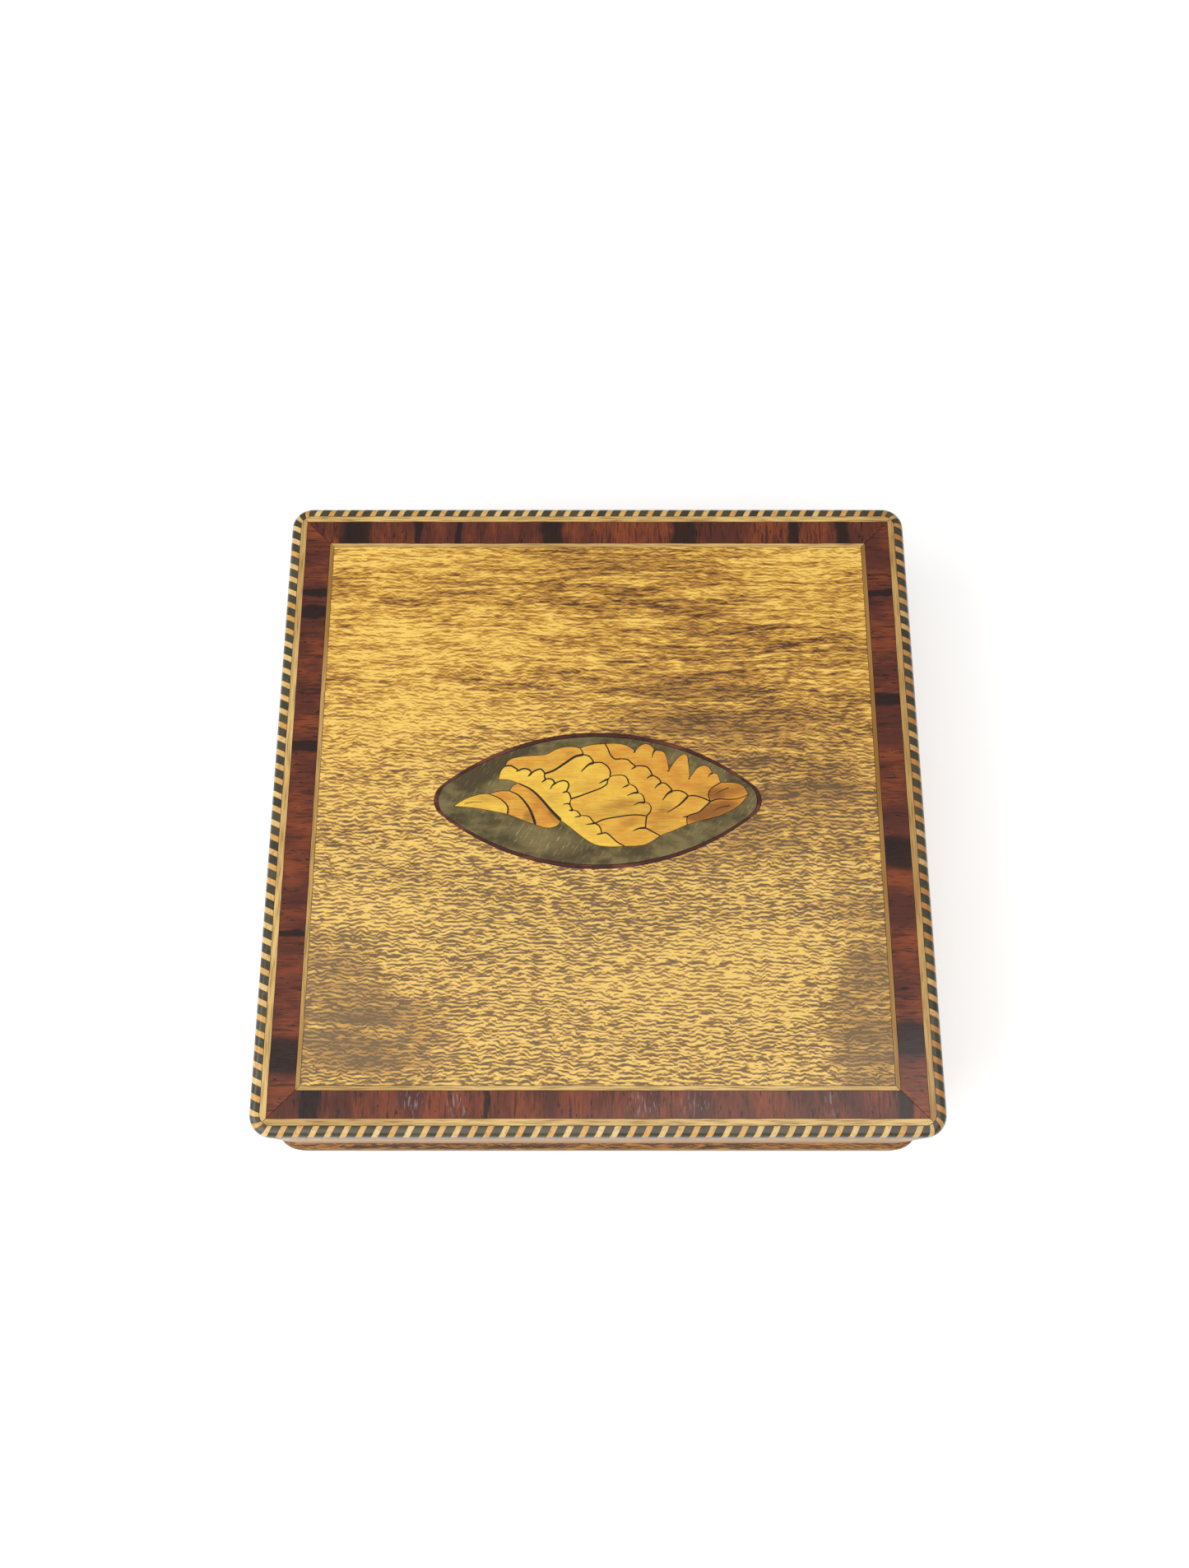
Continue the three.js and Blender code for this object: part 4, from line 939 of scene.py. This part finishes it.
# Dark sawn and engraved strokes on the lid, in mm: width at the start and end, then the way.
STROKES = (
    (0.18, 0.44, (-25, 1.4), (-22.5, 0.3), (-20.7, -1.5), (-20.6, -3.4)),
    (0.21, 0.68, (-20.3, 2.1), (-18, 0.9), (-15.6, -2.2), (-14.2, -5.9)),
    (0.29, 0.75, (-18.4, 4), (-15.7, 2.7), (-13.5, 0.8), (-10.6, -2.6), (-8.4, -4.9)),
    (0.39, 0.34, (-21.4, 8.1), (-20.1, 8.2), (-19, 7.6), (-18.3, 7)),
    (0.39, 0.34, (-18.3, 7), (-17.5, 7.4), (-16.6, 7.5), (-15.7, 7.1), (-15.3, 6.4)),
    (0.39, 0.34, (-15.3, 6.4), (-14.5, 7), (-13.3, 7.4), (-12.6, 6.9), (-12.2, 6.3)),
    (0.31, 0.39, (-12.2, 6.3), (-12.3, 5.6), (-12, 4.9)),
    (0.31, 0.39, (-12, 4.9), (-11.2, 5.1), (-10.3, 4.7), (-9.8, 3.9)),
    (0.31, 0.39, (-9.8, 3.9), (-9.1, 4.3), (-7.9, 4.6), (-6.9, 4.2), (-6.7, 3.2), (-7.2, 2)),
    (0.31, 0.39, (-7.2, 2), (-6.6, 1.6), (-6.3, 0.9), (-6.1, 0.2)),
    (0.21, 0.36, (-6.1, 0.2), (-6.4, -0.7), (-6.2, -1.6), (-5.7, -2.5)),
    (0.21, 0.36, (-5.7, -2.5), (-4.9, -2.6), (-4.3, -3.2), (-3.9, -3.8)),
    (0.21, 0.36, (-3.9, -3.8), (-2.7, -3.8), (-1.8, -4.2), (-1.2, -5), (-0.6, -5.6)),
    (0.34, 0.29, (-0.6, -5.6), (0.2, -6.1), (0.7, -7), (0.9, -8)),
    (0.34, 0.29, (0.9, -8), (2, -7.9), (3.2, -8.9), (4.4, -10), (6.1, -11)),
    (0.44, 0.60, (-12.2, 6.3), (-10.1, 7.1), (-7.6, 8.8), (-5.3, 10.4), (-3.3, 10.9)),
    (0.31, 0.18, (-3.3, 10.9), (-3.6, 11.7), (-4.1, 12.5)),
    (0.29, 0.34, (-3.3, 10.9), (-2.1, 10.6), (-1.3, 9.7), (-0.9, 8.9)),
    (0.29, 0.34, (-0.9, 8.9), (0.8, 9), (2.2, 8.1), (2.9, 6.8), (2.8, 5.5)),
    (0.26, 0.39, (2.8, 5.5), (2.3, 4.7), (2.1, 3.8), (0.7, 2.8), (-1.8, 1.8), (-4.4, 0.8), (-6.1, 0.2)),
    (0.16, 0.36, (2.8, 5.5), (4, 5.9), (5.7, 5.9), (6.7, 5.3), (7.2, 3.8)),
    (0.16, 0.36, (7.2, 3.8), (8, 3.5), (8.8, 2.9), (9.3, 1.7)),
    (0.16, 0.36, (9.3, 1.7), (10.1, 1.3), (10.6, 0.5), (10.8, -0.6)),
    (0.16, 0.36, (10.8, -0.6), (11.7, -0.9), (12.2, -1.8), (12, -2.9), (11.2, -3.8)),
    (0.34, 0.29, (-0.6, -5.6), (1.3, -4.7), (4.4, -4.1), (8.2, -3.6), (11.2, -3.8)),
    (0.36, 0.29, (11.2, -3.8), (11, -5.2), (10.9, -6.7)),
    (0.36, 0.29, (10.9, -6.7), (12.2, -7.4), (14.2, -8.5)),
    (0.29, 0.34, (1.7, 13.6), (2.4, 12.3), (2.9, 11), (3.9, 9.9), (5.5, 9.9)),
    (0.29, 0.34, (5.5, 9.9), (6.9, 9.7), (7.8, 8.9), (8.8, 8.1)),
    (0.29, 0.34, (8.8, 8.1), (10, 8.2), (11.4, 7.9), (12.2, 6.9), (12.6, 5.9)),
    (0.29, 0.34, (12.6, 5.9), (13.5, 5.5), (14.3, 4.8), (14.6, 4.1)),
    (0.29, 0.34, (14.6, 4.1), (15.6, 3.9), (16.5, 3.1), (17.2, 2.1)),
    (0.29, 0.34, (17.2, 2.1), (18.7, 2.2), (20, 1.7), (20.8, 0.9)),
    (0.29, 0.34, (20.8, 0.9), (22.2, 1), (24, 0.5), (25.9, -0.4)),
    (0.29, 0.21, (28.3, 4.1), (26.9, 3.3), (25.8, 2.4)),
    (0.29, 0.21, (25.8, 2.4), (25.4, 1), (25.9, -0.4)),
    (0.34, 0.16, (25.9, -0.4), (27.7, 0.2), (30.3, 0.1), (32.6, 0.4), (34.6, 1.3)),
    (0.36, 0.21, (25.9, -0.4), (24.6, -1.6), (23, -3), (20.6, -3.9), (20.4, -5.9)),
    (0.39, 0.13, (-18.3, 7), (-18.9, 6.8)),
    (0.68, 0.18, (-15.3, 6.4), (-16.1, 5.6)),
    (0.55, 0.16, (-12, 4.9), (-13, 4.1)),
    (0.60, 0.16, (-9.8, 3.9), (-10.3, 3.6), (-11, 2.5)),
    (0.52, 0.13, (-7.2, 2), (-8.2, 1.6)),
    (0.47, 0.13, (-6.2, -1.1), (-7, -0.9), (-8, -1.1)),
    (0.70, 0.18, (-5.7, -2.5), (-6.6, -2.5)),
    (0.47, 0.13, (-3.9, -3.9), (-5.3, -4.1)),
    (0.52, 0.13, (-0.6, -5.6), (-2.8, -5.9)),
    (0.52, 0.16, (0.9, -8), (-0.3, -8.2)),
    (0.70, 0.21, (-0.9, 8.9), (-2.2, 8.4), (-3.9, 6.7)),
    (0.55, 0.16, (2.5, 5.1), (0.2, 3.9)),
    (0.55, 0.13, (7.2, 3.6), (5.6, 2.9)),
    (0.62, 0.16, (9.3, 1.7), (8.2, 1.6), (6.7, 1)),
    (0.57, 0.13, (10.8, -0.7), (9.5, -0.7), (8.2, -1.3)),
    (0.60, 0.16, (10.9, -6.7), (9.4, -6.8), (8, -7.4)),
    (0.55, 0.13, (8.8, 8), (7.7, 7.3)),
    (0.57, 0.16, (12.6, 5.8), (12.1, 5.7), (11.3, 5.1)),
    (0.57, 0.16, (14.6, 4), (13.9, 3.6), (13.1, 2.7)),
    (0.70, 0.18, (17.2, 2.1), (16.1, 1.5), (14.8, -0.2)),
    (0.57, 0.16, (20.8, 0.9), (18.6, -1.3), (15.7, -3.1)),
    (0.52, 0.16, (8.7, 11.8), (8.3, 11.3)),
    (0.52, 0.13, (13.3, 12), (12.9, 11.4), (12.6, 10.2)),
    (0.47, 0.13, (16.5, 7.2), (16.1, 6.7)),
    (0.44, 0.13, (21.2, 5.3), (20.9, 4.8)),
    (0.47, 0.13, (26.5, 6.4), (25.9, 6.1), (25.5, 5.5)),
    (0.47, 0.13, (20.6, -3.9), (19.4, -4.2)),
    (0.26, 0.08, (30.2, 2.9), (28.4, 2.2), (27, 1.2)),
    (0.26, 0.08, (30.4, -1.4), (28.2, -1.8), (26.2, -2.8)),
    (0.21, 0.07, (-30.6, -0.9), (-28.4, -0.5), (-26.4, -0.6)),
)

# Under the lid's polished top: the shell's surface, and the top and foot of the filled strokes.
SHELL_SINK = 0.02 * MM
STROKE_SINK = 0.006 * MM
STROKE_FOOT = 0.12 * MM
STROKE_END = 0.4            # width left at a stroke's two ends, as a share


class BOX_OT_shell(bpy.types.Operator):
    """Marquetry shell, its ground and its engraved strokes"""

    bl_idname = "inlaid_box.shell"
    bl_label = "Shell"

    def smooth_way(self, points, steps=6):
        """Points along a smooth curve through the given ones."""
        if len(points) < 3:
            steps = 4
        ends = [points[0], *points, points[-1]]
        way = []
        for a, b, c, d in zip(ends, ends[1:], ends[2:], ends[3:]):
            for step in range(steps):
                t = step / steps
                way.append(tuple(
                    0.5 * (2 * q + (r - p) * t + (2 * p - 5 * q + 4 * r - s) * t * t
                           + (3 * q - p - 3 * r + s) * t ** 3)
                    for p, q, r, s in zip(a, b, c, d)))
        way.append(tuple(points[-1]))
        return way

    def stroke(self, bm, first, last, points):
        """One closed sliver, full width at one end and fine at the other."""
        way = [Vector(p) for p in self.smooth_way(points)]
        top, foot = LID_TOP - STROKE_SINK, LID_TOP - STROKE_FOOT
        rings = []
        for i, point in enumerate(way):
            along = (way[min(i + 1, len(way) - 1)] - way[max(i - 1, 0)]).normalized()
            share = i / (len(way) - 1)
            half = (first + (last - first) * share) / 2
            if i == 0 or i == len(way) - 1:
                half *= STROKE_END
            side = Vector((-along.y, along.x)) * half
            corners = (
                (point + side, top), (point - side, top), (point - side, foot), (point + side, foot))
            rings.append([bm.verts.new((p.x * MM, p.y * MM, z)) for p, z in corners])
        for ring, following in zip(rings, rings[1:]):
            for i in range(4):
                j = (i + 1) % 4
                bm.faces.new((ring[i], ring[j], following[j], following[i]))
        bm.faces.new(reversed(rings[0]))
        bm.faces.new(rings[-1])

    def execute(self, context):
        edge = 0.04 * MM
        for piece in SHELL_SHADING:
            slot = "shell_light" if piece in PALE_PIECES else "shell_shaded"
            eased_copy(piece, "lid", slot, (shell_wood(piece),), edge, sink=SHELL_SINK)
        eased_copy("shell_ground", "lid", "green_harewood", (harewood(),), edge, sink=SHELL_SINK)
        eased_copy("navette_line", "lid", "dark_stringing", (dark_line(),), edge, sink=SHELL_SINK / 2)
        bm = bmesh.new()
        for first, last, *points in STROKES:
            self.stroke(bm, first, last, points)
        bmesh.ops.recalc_face_normals(bm, faces=bm.faces)
        name = "engraved_strokes"
        seat(placed(name, mesh_of(bm, name, mastic())), "lid", "dark_stringing")
        return {"FINISHED"}


# ---------------------------------------------------------------- brass


SCREW_PITCH = 0.33        # between two heads, as a share of the leaf's length
SCREW_ROW = 2.3 * MM      # from the leaf's outer edge to its row of heads
SLOT_HALF = 0.15          # half the slot's width, as a share of the head's radius


class BOX_OT_hinges(bpy.types.Operator):
    """Hinge leaves, pins and their screws"""

    bl_idname = "inlaid_box.hinges"
    bl_label = "Hinges"

    def screw_head(self, material):
        """A low slotted head in two halves, facing up."""
        radius = settings("edges").screw
        bm = bmesh.new()
        for side in (1, -1):
            start = math.asin(0.17)
            arc = [start + (math.pi - 2 * start) * i / 8 for i in range(9)]
            levels = []
            for share, z in ((1, -0.1 * MM), (1, 0.02 * MM), (0.88, 0.05 * MM)):
                levels.append([bm.verts.new((radius * share * math.cos(t), side * max(
                    radius * share * math.sin(t), SLOT_HALF * radius), z)) for t in arc])
            for low, high in zip(levels, levels[1:]):
                for i in range(len(arc)):
                    j = (i + 1) % len(arc)
                    bm.faces.new((low[i], low[j], high[j], high[i]))
            bm.faces.new(levels[0])
            bm.faces.new(levels[-1])
        bmesh.ops.recalc_face_normals(bm, faces=bm.faces)
        return bpy.data.objects.new("screw_head", mesh_of(bm, "screw_head", material))

    def screws(self, name, body, leaf, material, lid):
        """Three heads on each of two leaves, as one mesh; leaf is the left one."""
        low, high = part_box(leaf)
        middle = (low + high) / 2
        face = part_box("lid_ground")[0].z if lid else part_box("wall_left")[1].z
        weave = Weave(name, (
            ("Head", "NodeSocketObject"), ("Pitch", "NodeSocketFloat"), ("Between hinges", "NodeSocketFloat"),
            ("Row", "NodeSocketFloat"), ("Face", "NodeSocketFloat"), ("Turn over", "NodeSocketFloat"),
            ("Metal", "NodeSocketMaterial")))
        half = weave.maths("MULTIPLY", weave.given("Between hinges"), -0.5)
        left = weave.maths("SUBTRACT", half, weave.given("Pitch"))
        start = weave.add("ShaderNodeCombineXYZ", values={0: left, 1: weave.given("Row"), 2: weave.given("Face")})
        step = weave.add("ShaderNodeCombineXYZ", values={0: weave.given("Pitch")})
        row = weave.add("GeometryNodeMeshLine", {"mode": "OFFSET"}, {
            "Count": 3, "Start Location": start.outputs[0], "Offset": step.outputs[0]})
        shift = weave.add("ShaderNodeCombineXYZ", values={0: weave.given("Between hinges")})
        other = weave.add("GeometryNodeTransform", values={
            "Geometry": row.outputs[0], "Translation": shift.outputs[0]})
        both = weave.add("GeometryNodeJoinGeometry")
        weave.tree.links.new(row.outputs[0], both.inputs[0])
        weave.tree.links.new(other.outputs[0], both.inputs[0])
        shape = weave.add("GeometryNodeObjectInfo", values={0: weave.given("Head")})
        angle = weave.add("FunctionNodeRandomValue", {"data_type": "FLOAT"}, {3: math.pi, "Seed": 4})
        turn = weave.add("ShaderNodeCombineXYZ", values={0: weave.given("Turn over"), 2: angle.outputs[1]})
        heads = weave.add("GeometryNodeInstanceOnPoints", values={
            "Points": both.outputs[0], "Instance": shape.outputs["Geometry"], "Rotation": turn.outputs[0]})
        whole = weave.add("GeometryNodeRealizeInstances", values={0: heads.outputs[0]})
        painted = weave.add("GeometryNodeSetMaterial", values={
            "Geometry": whole.outputs[0], "Material": weave.given("Metal")})
        piece = grown(name, weave.finish(painted.outputs[0]), {
            "Head": self.screw_head(material), "Pitch": (high.x - low.x) * SCREW_PITCH,
            "Between hinges": -2 * middle.x, "Row": low.y + SCREW_ROW,
            "Face": face, "Turn over": math.pi if lid else 0.0, "Metal": material,
        })
        seat(piece, body, "brass")

    def execute(self, context):
        edge = settings("edges").metal
        metal = brass()
        for side in ("left", "right"):
            eased_copy(f"hinge_leaf_case_{side}", "case", "brass", (metal,), edge)
            eased_copy(f"hinge_leaf_lid_{side}", "lid", "brass", (metal,), edge)
            eased_copy(f"hinge_pin_{side}", "case", "brass", (metal,), edge)
        self.screws("hinge_screws_case", "case", "hinge_leaf_case_left", metal, False)
        self.screws("hinge_screws_lid", "lid", "hinge_leaf_lid_left", metal, True)
        return {"FINISHED"}


class BOX_OT_lock(bpy.types.Operator):
    """Hidden bolt, stop key and catch plate"""

    bl_idname = "inlaid_box.lock"
    bl_label = "Hidden lock"

    def execute(self, context):
        edge = settings("edges").metal
        metal = brass()
        for node, body in (("bolt", "bolt"), ("stop_key", "stop_key"), ("catch_plate", "lid")):
            eased_copy(node, body, "brass", (metal,), edge)
        return {"FINISHED"}


# ---------------------------------------------------------------- panel and add-on


class BOX_PT_panel(bpy.types.Panel):
    """Sizes, colours and pieces of the inlaid box"""

    bl_idname = "BOX_PT_panel"
    bl_label = "Inlaid Box"
    bl_space_type = "VIEW_3D"
    bl_region_type = "UI"
    bl_category = "Inlaid Box"

    def draw(self, context):
        for group in SETTINGS:
            box = self.layout.box()
            box.label(text=group.capitalize())
            values = settings(group)
            for name in values.__annotations__:
                box.prop(values, name)
        for operator in OPERATORS:
            self.layout.operator(operator.bl_idname)


OPERATORS = (
    BOX_OT_stage, BOX_OT_case, BOX_OT_base, BOX_OT_lid, BOX_OT_shell, BOX_OT_rope, BOX_OT_hinges, BOX_OT_lock,
)


def register():
    for cls in (*SETTINGS.values(), *OPERATORS, BOX_PT_panel):
        bpy.utils.register_class(cls)
    for group, cls in SETTINGS.items():
        setattr(bpy.types.Scene, f"inlaid_box_{group}", bpy.props.PointerProperty(type=cls))


def unregister():
    for group in SETTINGS:
        delattr(bpy.types.Scene, f"inlaid_box_{group}")
    for cls in (BOX_PT_panel, *reversed(OPERATORS), *SETTINGS.values()):
        bpy.utils.unregister_class(cls)


def main():
    register()
    for operator in OPERATORS:
        group, name = operator.bl_idname.split(".")
        getattr(getattr(bpy.ops, group), name)()
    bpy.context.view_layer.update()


if __name__ == "__main__":
    main()
